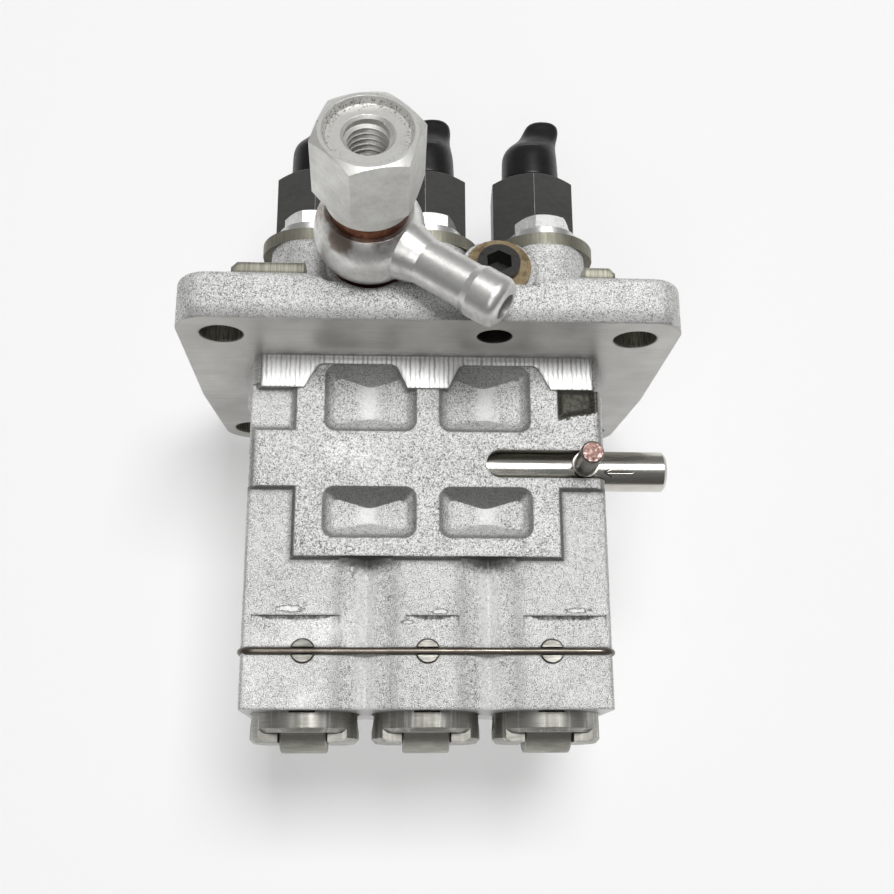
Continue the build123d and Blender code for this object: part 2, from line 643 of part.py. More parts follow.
def pump_housing():
    """Cast aluminium housing with flange, tappet body and delivery head."""
    solid = flange_plate() + head_casting()
    for pad in flange_pads():
        solid += pad
    for cut in port_clearances():
        solid -= cut
    body = body_block()
    for cut in body_cuts():
        body -= cut
    solid += body + spigot()
    for x in COLUMNS:
        solid -= Pos(x, 0, 0) * housing_bores()
    for cut in cross_bores() + flange_holes():
        solid -= cut
    return solid - wire_sweep(WIRE_D + 2 * FIT_GAP)


# ---- Barrels, plungers and the control gear --------------------------------------------------------
def flange_outline():
    """Plate with straight sides and round ends that clamps a barrel."""
    half = BARREL_FLANGE_WIDTH / 2
    sagitta = BARREL_FLANGE_ARC - sqrt(BARREL_FLANGE_ARC ** 2 - half ** 2)
    shoulder = BARREL_FLANGE_HALF - sagitta
    front = ThreePointArc((-half, -shoulder), (0, -BARREL_FLANGE_HALF), (half, -shoulder))
    right = Line((half, -shoulder), (half, shoulder))
    back = ThreePointArc((half, shoulder), (0, BARREL_FLANGE_HALF), (-half, shoulder))
    left = Line((-half, shoulder), (-half, -shoulder))
    return make_face([front, right, back, left])


def barrel():
    """Flanged barrel with the plunger bore, spill port and holder thread."""
    solid = rod(BARREL_NOSE_D / 2, BARREL_NOSE_BOTTOM, BARREL_HEAD_BOTTOM)
    solid += rod(BARREL_HEAD_D / 2, BARREL_HEAD_BOTTOM, HEAD_TOP)
    solid += extrude(Pos(0, 0, HEAD_TOP) * flange_outline(), BARREL_FLANGE_THICK)
    solid -= rod(PLUNGER_D / 2 + RUN_GAP, BARREL_NOSE_BOTTOM - OVERCUT, PLATE_TOP)
    solid -= rod(THREAD_D / 2 + FIT_GAP, SEAT_BOTTOM, PLATE_TOP + OVERCUT)
    half = GALLERY_HEIGHT / 2
    rim = BARREL_HEAD_D / 2
    solid -= ring(rim + OVERCUT, rim - GALLERY_DEPTH, GALLERY_LEVEL - half, GALLERY_LEVEL + half)
    groove = ORING_WIRE / 2
    solid -= ring(rim + OVERCUT, BARREL_BORE_R - ORING_WIRE, ORING_LEVEL - groove, ORING_LEVEL + groove)
    solid -= along_y(SPILL_PORT_D / 2, -rim - OVERCUT, 0, 0, GALLERY_LEVEL)
    for side in (-1, 1):
        hole = rod(BOLT_HOLE_R, HEAD_TOP - OVERCUT, PLATE_TOP + OVERCUT)
        solid -= Pos(0, side * CLAMP_BOLT_Y, 0) * hole
    return solid


def barrel_o_ring():
    """Sealing ring between a barrel head and the housing."""
    middle = BARREL_BORE_R - ORING_WIRE / 2
    return Pos(0, 0, ORING_LEVEL) * Torus(middle, ORING_WIRE / 2)


def plunger():
    """Pumping plunger with helix, control vane and foot."""
    solid = rod(PLUNGER_D / 2, TAPPET_TOP, PLUNGER_TOP)
    solid += rod(PLUNGER_FOOT_D / 2, TAPPET_TOP - PLUNGER_FOOT_HEIGHT, TAPPET_TOP)
    reach = SLEEVE_D / 2 - VANE_INSET
    half = VANE_WIDTH / 2
    solid += block(-reach, reach, -half, half, VANE_LEVEL, VANE_LEVEL + VANE_HEIGHT)
    return solid - helix_pocket()


def helix_pocket():
    """Spill groove whose slanted upper edge ends the delivery."""
    radius = PLUNGER_D / 2
    side = radius + OVERCUT
    high = PLUNGER_TOP - HELIX_TOP_LAND
    low = high - HELIX_SPAN
    edge = polygon((-side, low), (side, low), (side, high), (-side, low + HELIX_RISE))
    groove = extrude(front_plane(-radius + HELIX_DEPTH) * edge, radius)
    half = HELIX_SLOT / 2
    slot = block(radius - HELIX_DEPTH, side, -half, half, low, PLUNGER_TOP + OVERCUT)
    return groove + slot


def involute_half_angle(radius):
    """Half angle of a sleeve tooth at a radius, in radians."""
    pressure = radians(PRESSURE_ANGLE)
    base = GEAR_R * cos(pressure)
    at_pitch = (TOOTH_PITCH - BACKLASH) / (4 * GEAR_R)
    ratio = min(1.0, base / radius)
    local = sqrt(1 / ratio ** 2 - 1)
    return at_pitch + (tan(pressure) - pressure) - (local - (pi / 2 - asin(ratio)))


def sleeve_tooth():
    """One involute tooth pointing to the front."""
    base = GEAR_R * cos(radians(PRESSURE_ANGLE))
    radii = [GEAR_ROOT_R - TOOTH_ROOT_LAP, base, GEAR_R, GEAR_TIP_R]
    right = [(r * sin(involute_half_angle(r)), -r * cos(involute_half_angle(r))) for r in radii]
    left = [(-x, y) for x, y in reversed(right)]
    return polygon(*right, *left)


def control_sleeve():
    """Sleeve round the barrel nose with a tooth sector and vane slots."""
    bore = BARREL_NOSE_D / 2 + RUN_GAP
    solid = ring(SLEEVE_D / 2, bore, SLEEVE_BOTTOM, SLEEVE_TOP)
    step = 360 / SLEEVE_TEETH
    sector = Circle(GEAR_ROOT_R)
    for i in range(-TEETH_EACH_SIDE, TEETH_EACH_SIDE + 1):
        sector += Rot(0, 0, i * step) * sleeve_tooth()
    sector -= Circle((bore + SLEEVE_D / 2) / 2)
    solid += extrude(Pos(0, 0, RACK_Z - GEAR_HEIGHT / 2) * sector, GEAR_HEIGHT)
    half = VANE_WIDTH / 2 + RUN_GAP
    low = SLEEVE_BOTTOM - OVERCUT
    return solid - block(-SLEEVE_D, SLEEVE_D, -half, half, low, SLEEVE_BOTTOM + SLEEVE_SLOT_LENGTH)


def rack_tooth_space():
    """Outline of one space between two rack teeth, cut from the back."""
    slope = tan(radians(PRESSURE_ANGLE))
    space = (TOOTH_PITCH + BACKLASH) / 4
    top = RACK_TIP_Y + OVERCUT
    mouth = space + (top + GEAR_R) * slope
    floor = space + (RACK_ROOT_Y + GEAR_R) * slope
    return polygon((-mouth, top), (mouth, top), (floor, RACK_ROOT_Y), (-floor, RACK_ROOT_Y))


def control_rack():
    """Round rack with a toothed flat, sliding along the row."""
    bar = along_x(RACK_D / 2, RACK_LEFT, RACK_RIGHT, RACK_Y, RACK_Z)
    bar = chamfer(bar.edges().filter_by(GeomType.CIRCLE), RACK_CHAMFER)
    half = RACK_D / 2 + OVERCUT
    low = RACK_Z - half
    bar -= block(RACK_LEFT - OVERCUT, RACK_FLAT_RIGHT, RACK_TIP_Y, RACK_Y + half, low, RACK_Z + half)
    space = extrude(Pos(0, 0, low) * rack_tooth_space(), 2 * half)
    first = -ROW_HALF - 2 * TOOTH_PITCH
    last = ROW_HALF + RACK_TRAVEL_IN + 2 * TOOTH_PITCH
    for i in range(round((last - first) / TOOTH_PITCH) + 1):
        bar -= Pos(first + i * TOOTH_PITCH, 0, 0) * space
    return bar - rack_pin()


def rack_pin():
    """Cross pin that the governor lever moves, with a collar against the rack."""
    front = RACK_Y - RACK_D / 2
    root = RACK_ROOT_Y - TOOTH_ROOT_LAP
    shoulder = -BODY_FRONT - RACK_PIN_SHOULDER
    pin = along_y(RACK_PIN_D / 2, RACK_PIN_END, shoulder, RACK_PIN_X, RACK_Z)
    pin = chamfer(pin.edges().group_by(Axis.Y)[0], RACK_PIN_CHAMFER)
    pin += along_y(RACK_PIN_COLLAR_D / 2, shoulder, front, RACK_PIN_X, RACK_Z)
    return pin + along_y(RACK_PIN_ROOT_D / 2, shoulder, root, RACK_PIN_X, RACK_Z)


# ---- Springs and seats ----------------------------------------------------------------------------------
def upper_spring_seat():
    """Washer under the housing shoulder."""
    return ring(TAPPET_BORE_R - FIT_GAP, SLEEVE_D / 2 + FIT_GAP, SPRING_TOP, UPPER_SEAT_TOP)


def lower_spring_seat():
    """Washer that holds the plunger foot down on the tappet."""
    return ring(SPRING_D / 2 + SEAT_LIP, PLUNGER_D / 2 + FIT_GAP, TAPPET_TOP, SPRING_BOTTOM)


def plunger_spring():
    """Return spring between the two seats."""
    return coil_spring(SPRING_D, SPRING_WIRE, SPRING_COILS, SPRING_BOTTOM, SPRING_TOP)


# ---- Tappets ----------------------------------------------------------------------------------------------
def tappet():
    """Roller tappet with a guide groove in front and a fork between two ears."""
    radius = TAPPET_D / 2
    ear_bottom = TAPPET_BOTTOM - EAR_DROP
    solid = rod(radius, TAPPET_BOTTOM, TAPPET_TOP)
    solid = chamfer(solid.edges().filter_by(GeomType.CIRCLE), TAPPET_CHAMFER)
    ears = rod(radius, ear_bottom, ROLLER_Z)
    ears = chamfer(ears.edges().group_by(Axis.Z)[0], TAPPET_CHAMFER)
    half_ear = EAR_WIDTH / 2
    solid += ears & block(-radius, radius, -half_ear, half_ear, ear_bottom, ROLLER_Z)
    side = ROLLER_WIDTH / 2 + ROLLER_GAP
    reach = ROLLER_D / 2 + 2 * ROLLER_GAP
    solid -= block(-side, side, -reach, reach, ear_bottom - OVERCUT, ROLLER_Z + reach)
    solid -= along_x(ROLLER_PIN_D / 2 + FIT_GAP, -radius - OVERCUT, radius + OVERCUT, 0, ROLLER_Z)
    solid -= guide_groove()
    recess = rod(PLUNGER_FOOT_D / 2 + 2 * FIT_GAP, TAPPET_TOP - PLUNGER_FOOT_HEIGHT - FIT_GAP, TAPPET_TOP + OVERCUT)
    return solid - recess


def guide_groove():
    """Closed groove that rides on the guide pin and limits the stroke."""
    half = GUIDE_PIN_D / 2 + GUIDE_GROOVE_GAP
    front = -TAPPET_D / 2
    top = GUIDE_PIN_Z + GUIDE_PIN_D / 2 + FIT_GAP
    bottom = GUIDE_PIN_Z - LIFT - GUIDE_PIN_D / 2 - GUIDE_GROOVE_OVERRUN
    return block(-half, half, front - OVERCUT, front + GUIDE_GROOVE_DEPTH, bottom, top)


def roller():
    """Cam roller with rounded edges."""
    half = ROLLER_WIDTH / 2
    solid = along_x(ROLLER_D / 2, -half, half, 0, ROLLER_Z)
    solid = fillet(solid.edges().filter_by(GeomType.CIRCLE), ROLLER_EDGE)
    return solid - along_x(ROLLER_PIN_D / 2 + RUN_GAP, -half - OVERCUT, half + OVERCUT, 0, ROLLER_Z)


def roller_pin():
    """Axle of the roller, held in the tappet."""
    half = TAPPET_D / 2 - ROLLER_PIN_INSET
    return along_x(ROLLER_PIN_D / 2, -half, half, 0, ROLLER_Z)


def guide_pin():
    """Pin that keeps a tappet from turning and stops its stroke, slotted for the wire."""
    tip = -(TAPPET_D / 2 - GUIDE_GROOVE_DEPTH) - 2 * FIT_GAP
    head = -CAST_FRONT - WIRE_D / 3
    pin = along_y(GUIDE_PIN_D / 2, head, tip, 0, GUIDE_PIN_Z)
    half = WIRE_D / 2 + FIT_GAP
    low = GUIDE_PIN_Z - half
    return pin - block(-GUIDE_PIN_D, GUIDE_PIN_D, head - OVERCUT, -CAST_FRONT + half, low, GUIDE_PIN_Z + half)


def retaining_wire():
    """Spring wire that locks the guide pins."""
    return wire_sweep(WIRE_D)


# ---- Delivery side ---------------------------------------------------------------------------------------------
def valve_seat():
    """Seat body clamped on top of the barrel bore."""
    return ring(VALVE_SEAT_D / 2, VALVE_D / 2 + RUN_GAP, SEAT_BOTTOM, SEAT_BOTTOM + VALVE_SEAT_HEIGHT)


def delivery_valve():
    """Valve with a guide stem, fluted below, and a head on the seat."""
    top = SEAT_BOTTOM + VALVE_SEAT_HEIGHT
    solid = rod(VALVE_D / 2, SEAT_BOTTOM + VALVE_STEM_INSET, top)
    solid += rod(VALVE_HEAD_D / 2, top, top + VALVE_HEAD_HEIGHT)
    half = VALVE_FLUTE / 2
    groove = block(-VALVE_D, -VALVE_CORE_R, -half, half, SEAT_BOTTOM - OVERCUT, top - VALVE_COLLAR)
    for i in range(3):
        solid -= Rot(0, 0, 120 * i) * groove
    return solid


def delivery_spring():
    """Spring that closes the delivery valve."""
    low = SEAT_BOTTOM + VALVE_SEAT_HEIGHT + VALVE_HEAD_HEIGHT
    return coil_spring(VALVE_SPRING_D, VALVE_SPRING_WIRE, VALVE_SPRING_COILS, low, HOLDER_CHAMBER_TOP)


def delivery_gasket():
    """Copper ring between the seat and the holder."""
    low = SEAT_BOTTOM + VALVE_SEAT_HEIGHT
    return ring(VALVE_SEAT_D / 2, HOLDER_CHAMBER_D / 2, low, low + GASKET_THICK)


def delivery_holder():
    """Hexagonal holder with the outlet thread on its bevelled top."""
    corner = HOLDER_HEX / sqrt(3)
    neck = OUTLET_THREAD_D / 2 + CAP_WALL
    drop = (corner - neck) * tan(radians(HOLDER_BEVEL))
    shape = rod(corner, HOLDER_HEX_BOTTOM, HOLDER_HEX_TOP - drop)
    shape += cone(corner, neck, HOLDER_HEX_TOP - drop, HOLDER_HEX_TOP)
    solid = hexagon(HOLDER_HEX, HOLDER_HEX_BOTTOM, HOLDER_HEX_TOP, HOLDER_TURN) & shape
    solid += rod(THREAD_D / 2, HOLDER_SHANK_BOTTOM, HOLDER_HEX_BOTTOM)
    solid += rod(OUTLET_THREAD_D / 2, HOLDER_HEX_TOP, OUTLET_TOP)
    solid -= rod(HOLDER_CHAMBER_D / 2, HOLDER_SHANK_BOTTOM - OVERCUT, HOLDER_CHAMBER_TOP)
    solid -= rod(OUTLET_BORE_D / 2, HOLDER_CHAMBER_TOP - OVERCUT, OUTLET_TOP + OVERCUT)
    depth = (OUTLET_CONE_D - OUTLET_BORE_D) / 2 / tan(radians(OUTLET_CONE_HALF_ANGLE))
    return solid - cone(OUTLET_BORE_D / 2, OUTLET_CONE_D / 2, OUTLET_TOP - depth, OUTLET_TOP)


def dust_cap():
    """Soft cap pushed over the outlet thread, pinched shut above it."""
    inner = OUTLET_THREAD_D / 2 + RUN_GAP
    outer = inner + CAP_WALL
    low = HOLDER_HEX_TOP + FIT_GAP
    neck = OUTLET_TOP + FIT_GAP
    fin = Pos(CAP_LEAN, 0) * SlotOverall(CAP_FIN_WIDTH, CAP_FIN_THICK)
    fin_low = CAP_TOP - CAP_FIN_HEIGHT
    solid = rod(outer, low, neck)
    solid += loft([Pos(0, 0, neck) * Circle(outer), Pos(0, 0, fin_low) * fin])
    top = extrude(Pos(0, 0, fin_low) * fin, CAP_FIN_HEIGHT)
    solid += fillet(top.edges().group_by(Axis.Z)[-1], CAP_WALL)
    return solid - rod(inner, low - OVERCUT, neck)


def clamp_washer():
    """Flat washer under a clamping bolt."""
    return ring(WASHER_D / 2, BOLT_THREAD_D / 2 + BOLT_HOLE_GAP / 2, PLATE_TOP, BOLT_HEAD_BOTTOM)


def clamp_bolt():
    """Hexagon bolt that clamps a barrel flange."""
    top = BOLT_HEAD_BOTTOM + BOLT_HEAD_HEIGHT
    corner = BOLT_HEX / sqrt(3)
    shape = rod(corner, BOLT_HEAD_BOTTOM, top - BOLT_BEVEL)
    shape += cone(corner, BOLT_HEX / 2, top - BOLT_BEVEL, top)
    head = hexagon(BOLT_HEX, BOLT_HEAD_BOTTOM, top, BOLT_TURN) & shape
    return head + rod(BOLT_THREAD_D / 2, HEAD_TOP - BOLT_LENGTH, BOLT_HEAD_BOTTOM)


def at_each_bolt(piece):
    """Copies of a piece at every clamping bolt."""
    return [Pos(x, side * CLAMP_BOLT_Y, 0) * piece for x in COLUMNS for side in (-1, 1)]


# ---- Fuel ports -----------------------------------------------------------------------------------------------------
def nipple_plane():
    """Plane across the hose nipple, at the banjo's own axis."""
    drop = radians(NIPPLE_DROP)
    return Plane(origin=(0, 0, EYE_MIDDLE), z_dir=(cos(drop), -sin(drop), 0))


def nipple():
    """Hose nipple, flared at its root and beaded near its rounded end."""
    radius = NIPPLE_D / 2
    bead = NIPPLE_BARB_D / 2
    root = EYE_LAND_D / 2
    tip = NIPPLE_LENGTH - NIPPLE_TIP_LENGTH
    bead_start = tip - NIPPLE_BARB_LENGTH
    solid = rod(radius, 0, bead_start)
    solid += cone(NIPPLE_ROOT_D / 2, radius, root, root + NIPPLE_D / 2)
    solid += cone(radius, bead, bead_start - NIPPLE_BARB_RAMP, bead_start)
    end = rod(bead, bead_start, NIPPLE_LENGTH)
    return solid + fillet(end.edges().group_by(Axis.Z)[-1], NIPPLE_TIP_RADIUS)


def inlet_banjo():
    """Banjo eye with a hose nipple that points down and to the right."""
    land = EYE_LAND_D / 2
    side = Polyline((0, EYE_BOTTOM), (land, EYE_BOTTOM))
    curve = ThreePointArc((land, EYE_BOTTOM), (EYE_D / 2, EYE_MIDDLE), (land, EYE_TOP))
    lid = Polyline((land, EYE_TOP), (0, EYE_TOP), (0, EYE_BOTTOM))
    eye = revolve(Plane.XZ * make_face([side, curve, lid]), Axis.Z)
    eye += nipple_plane() * nipple()
    eye -= rod(EYE_BORE_R, EYE_BOTTOM - OVERCUT, EYE_TOP + OVERCUT)
    half = EYE_GROOVE_HEIGHT / 2
    eye -= rod(EYE_BORE_R + EYE_GROOVE, EYE_MIDDLE - half, EYE_MIDDLE + half)
    return eye - nipple_plane() * rod(NIPPLE_BORE_D / 2, EYE_BORE_R, NIPPLE_LENGTH + OVERCUT)


def chamfered_hexagon(across, low, high, turn):
    """Hexagon with turned corners at both ends."""
    corner = across / sqrt(3)
    flat = across / 2 * UNION_HEX_FACE
    drop = (corner - flat) * tan(radians(UNION_BEVEL))
    shape = cone(flat, corner, low, low + drop) + rod(corner, low + drop, high - drop)
    shape += cone(corner, flat, high - drop, high)
    return hexagon(across, low, high, turn) & shape


def inlet_union_bolt():
    """Hollow union bolt with a threaded outer bore and a hexagon."""
    thread = UNION_THREAD_D / 2
    floor = UNION_TOP - UNION_THREAD_DEPTH
    seat = UNION_TOP - UNION_COUNTERBORE_DEPTH
    mouth = UNION_MOUTH_D / 2
    solid = rod(INLET_SHANK_D / 2, -INLET_SHANK_DEPTH, UNION_HEX_BOTTOM)
    solid += rod(UNION_COLLAR_D / 2, COLLAR_BOTTOM, UNION_HEX_BOTTOM)
    solid += chamfered_hexagon(UNION_HEX, UNION_HEX_BOTTOM, UNION_TOP, UNION_TURN)
    solid -= cone(UNION_COUNTERBORE_D / 2, UNION_COUNTERBORE_MOUTH_D / 2, seat, UNION_TOP)
    solid -= rod(thread, floor, UNION_TOP)
    solid -= cone(thread, mouth, seat - (mouth - thread), seat)
    solid -= rod(UNION_BORE_D / 2, -INLET_SHANK_DEPTH - OVERCUT, UNION_TOP)
    drill = (thread - UNION_BORE_D / 2) / tan(radians(DRILL_HALF_ANGLE))
    solid -= cone(UNION_BORE_D / 2, thread, floor - drill, floor)
    return solid - along_x(UNION_CROSS_D / 2, -INLET_SHANK_D, INLET_SHANK_D, 0, EYE_MIDDLE)


def copper_washers(low):
    """Pair of sealing washers of the inlet."""
    one = ring(COPPER_D / 2, EYE_BORE_R, low, low + COPPER_THICK)
    return [INLET * Pos(0, 0, i * COPPER_THICK) * one for i in range(COPPER_PAIR)]


def bleed_plug():
    """Socket plug that closes the second fuel port."""
    top = PLUG_WASHER_THICK + PLUG_HEAD_HEIGHT
    solid = rod(PLUG_THREAD_D / 2, -PLUG_DEPTH, PLUG_WASHER_THICK)
    solid += rod(PLUG_HEAD_D / 2, PLUG_WASHER_THICK, top)
    return solid - hexagon(PLUG_SOCKET, top - PLUG_SOCKET_DEPTH, top + OVERCUT, 30)


def bleed_plug_washer():
    """Sealing washer of the plug."""
    return ring(PLUG_WASHER_D / 2, PLUG_THREAD_D / 2 + 2 * FIT_GAP, 0, PLUG_WASHER_THICK)


# ---- Output -------------------------------------------------------------------------------------------------------------
def save(name, solids):
    """Write one node, made of one or more solids."""
    shapes = solids if isinstance(solids, list) else [solids]
    single = [solid for shape in shapes for solid in shape.solids()]
    node = single[0] if len(single) == 1 else Compound(children=single)
    export_step(node, f"parts/{name}.step")


def build():
    """Write every node of the pump."""
    os.makedirs("parts", exist_ok=True)
    save("pump_housing", pump_housing())
    per_column = {
        "barrel": barrel, "plunger": plunger, "control_sleeve": control_sleeve,
        "plunger_spring": plunger_spring, "lower_spring_seat": lower_spring_seat,
        "tappet": tappet, "roller": roller, "roller_pin": roller_pin,
        "delivery_valve": delivery_valve, "delivery_spring": delivery_spring,
        "delivery_holder": delivery_holder, "dust_cap": dust_cap,
    }
    for name, make in per_column.items():
        for number, piece in enumerate(at_each_column(make()), 1):
            save(f"{name}_{number}", piece)
    grouped = {
        "barrel_o_rings": barrel_o_ring, "upper_spring_seats": upper_spring_seat,
        "tappet_guide_pins": guide_pin, "delivery_valve_seats": valve_seat,
        "delivery_gaskets": delivery_gasket,
    }
    for name, make in grouped.items():
        save(name, at_each_column(make()))
    save("clamp_washers", at_each_bolt(clamp_washer()))
    save("clamp_bolts", at_each_bolt(clamp_bolt()))
    save("retaining_wire", retaining_wire())
    save("control_rack", control_rack())
    save("rack_pin", rack_pin())
    save("inlet_banjo", INLET * inlet_banjo())
    save("inlet_union_bolt", INLET * inlet_union_bolt())
    save("lower_copper_washers", copper_washers(0))
    save("upper_copper_washers", copper_washers(EYE_TOP))
    save("bleed_plug", PLUG * bleed_plug())
    save("bleed_plug_washer", PLUG * bleed_plug_washer())


build()
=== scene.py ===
import json
from math import asin, cos, pi, radians, sin

import bpy
from mathutils import Matrix, Vector


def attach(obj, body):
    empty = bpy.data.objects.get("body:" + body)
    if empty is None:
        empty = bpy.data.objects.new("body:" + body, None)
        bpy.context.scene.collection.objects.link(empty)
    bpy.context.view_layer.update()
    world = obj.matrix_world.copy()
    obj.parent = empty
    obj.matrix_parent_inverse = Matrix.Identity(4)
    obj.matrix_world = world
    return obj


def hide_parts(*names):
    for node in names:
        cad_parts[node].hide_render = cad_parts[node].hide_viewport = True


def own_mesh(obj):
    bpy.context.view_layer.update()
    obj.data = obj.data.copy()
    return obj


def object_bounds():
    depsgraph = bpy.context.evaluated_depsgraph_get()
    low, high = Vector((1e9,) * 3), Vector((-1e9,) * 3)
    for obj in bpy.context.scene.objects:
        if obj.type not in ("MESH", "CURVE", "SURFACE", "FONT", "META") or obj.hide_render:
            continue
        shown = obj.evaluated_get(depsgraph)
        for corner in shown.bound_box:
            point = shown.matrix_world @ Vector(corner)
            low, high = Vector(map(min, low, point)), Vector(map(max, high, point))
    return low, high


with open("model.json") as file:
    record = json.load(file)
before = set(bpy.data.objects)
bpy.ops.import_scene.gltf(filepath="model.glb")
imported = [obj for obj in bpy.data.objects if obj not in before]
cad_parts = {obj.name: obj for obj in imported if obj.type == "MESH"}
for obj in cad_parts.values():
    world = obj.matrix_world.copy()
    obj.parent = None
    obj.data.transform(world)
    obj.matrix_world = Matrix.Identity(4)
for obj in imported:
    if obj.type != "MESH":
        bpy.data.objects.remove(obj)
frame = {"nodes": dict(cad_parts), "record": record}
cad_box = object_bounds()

# Looks of the in-line diesel injection pump. Blender works in metres; the
# values below are millimetres and are turned into metres by MM.
MM = 0.001

# ---- Camera ---------------------------------------------------------------
CAMERA_PLACE = (-8.40, -253.36, -92.57)
CAMERA_RISE = 16.879        # degrees above the horizon
CAMERA_YAW = 2.977
CAMERA_ROLL = -0.290
CAMERA_LENS = 47.837        # focal length on a 36 mm wide sensor

# ---- Stage and lights -------------------------------------------------------
WALL_GAP = 1.0              # backdrop behind the rearmost point
STAGE_SIZE = 3000.0
STAGE_GREY = 0.97
STAGE_WHITE = 0.985
STAGE_GLOW = 0.30
SKY_LOW = 0.14              # strength of the world's light from below and from above
SKY_HIGH = 0.36
KEY_PLACE = (190.0, -1480.0, 330.0)
KEY_SIZE = (650.0, 550.0)
KEY_STRENGTH = 16.6
FILL_PLACE = (-120.0, -720.0, -420.0)
FILL_STRENGTH = 1.0
REAR_PLACE = (80.0, 430.0, 420.0)
REAR_STRENGTH = 2.0

# ---- Levels on the housing, as the CAD has them ---------------------------------
SPIGOT_DEPTH = 7.2
SPIGOT_FRONT = -15.4        # machined front band of the spigot
SPIGOT_FACE_HALF = 35.2
RAISED_FRONT = -14.9
CAST_FRONT = -14.1
FRAME_BOTTOM = -43.4
FRAME_HALF = 27.3
RAIL_BOTTOM = -28.7
CREASE_LEVEL = -55.4
CREASE_SPANS = ((-35.5, -17.8), (-4.5, 6.3), (19.4, 36.3))
BODY_BOTTOM = -74.0
FLANGE_FRONT = -35.3
FLANGE_THICK = 10.3
PAD_TOP = 12.6
HEAD_TOP = 21.3
MOUNT_HALF_X, MOUNT_HALF_Y, MOUNT_MID_Y = 42.5, 31.35, 4.85
MOUNT_HOLE_R = 4.5
DRAIN_X, DRAIN_Y, DRAIN_R = 13.3, -27.0, 3.6
RACK_Y, RACK_Z, RACK_R = -9.26, -23.6, 4.3
PIN_END = -24.0
TAPPET_BORE_R = 11.24
PITCH = 25.0
GUIDE_PIN_Z, GUIDE_PIN_R = -62.6, 2.25
INLET_X = -12.5
INLET_BASE_POINT = (INLET_X, -30.0, 15.4)
INLET_AXIS = (0.0, -cos(radians(13.5)), sin(radians(13.5)))
INLET_BASE = 30.0 * cos(radians(13.5)) + 15.4 * sin(radians(13.5))
THREAD_ROOT_R = 4.56        # ridges stand in from the union's bore
THREAD_DEPTH = 0.62
THREAD_PITCH = 1.35
THREAD_LOW, THREAD_TOP = 23.0, 34.0     # along the port's axis, from its face
THREAD_SIDES = 40
ARROW_Z, ARROW_TIP, ARROW_END = -24.9, 37.3, 43.6
CAP_LOW, CAP_INNER_TOP = 49.75, 57.9
CAP_BORE_R = 6.04
CAP_TOP = 67.3
CAP_SHOULDER = 57.0
CAP_POINTS = 40
CAP_LEANS = (-0.6, -1.7, 0.0)           # lean of each cap's fin against the drawn one
CAP_OUTLINE = (
    # level, left, right, half depth, exponent of the outline
    (49.80, -6.79, 6.79, 6.79, 1.0), (50.4, -6.79, 6.79, 6.79, 1.0), (53.0, -6.75, 6.75, 6.75, 1.0),
    (56.2, -6.70, 6.62, 6.60, 1.0), (57.6, -6.45, 6.50, 6.20, 1.0), (58.9, -5.75, 6.42, 5.30, 0.95),
    (60.0, -4.55, 6.40, 4.20, 0.92), (61.3, -3.10, 6.50, 3.10, 0.88), (62.6, -2.15, 6.85, 2.35, 0.84),
    (64.0, -1.50, 7.15, 1.95, 0.80), (65.3, -0.90, 7.18, 1.80, 0.80), (66.2, -0.30, 6.80, 1.70, 0.82),
    (66.9, 0.70, 6.00, 1.30, 0.85), (67.2, 1.90, 4.90, 0.70, 0.9),
)
SOFT_EDGE = 1.00            # rounding that the shading gives to cast edges
CRISP_EDGE = 0.12


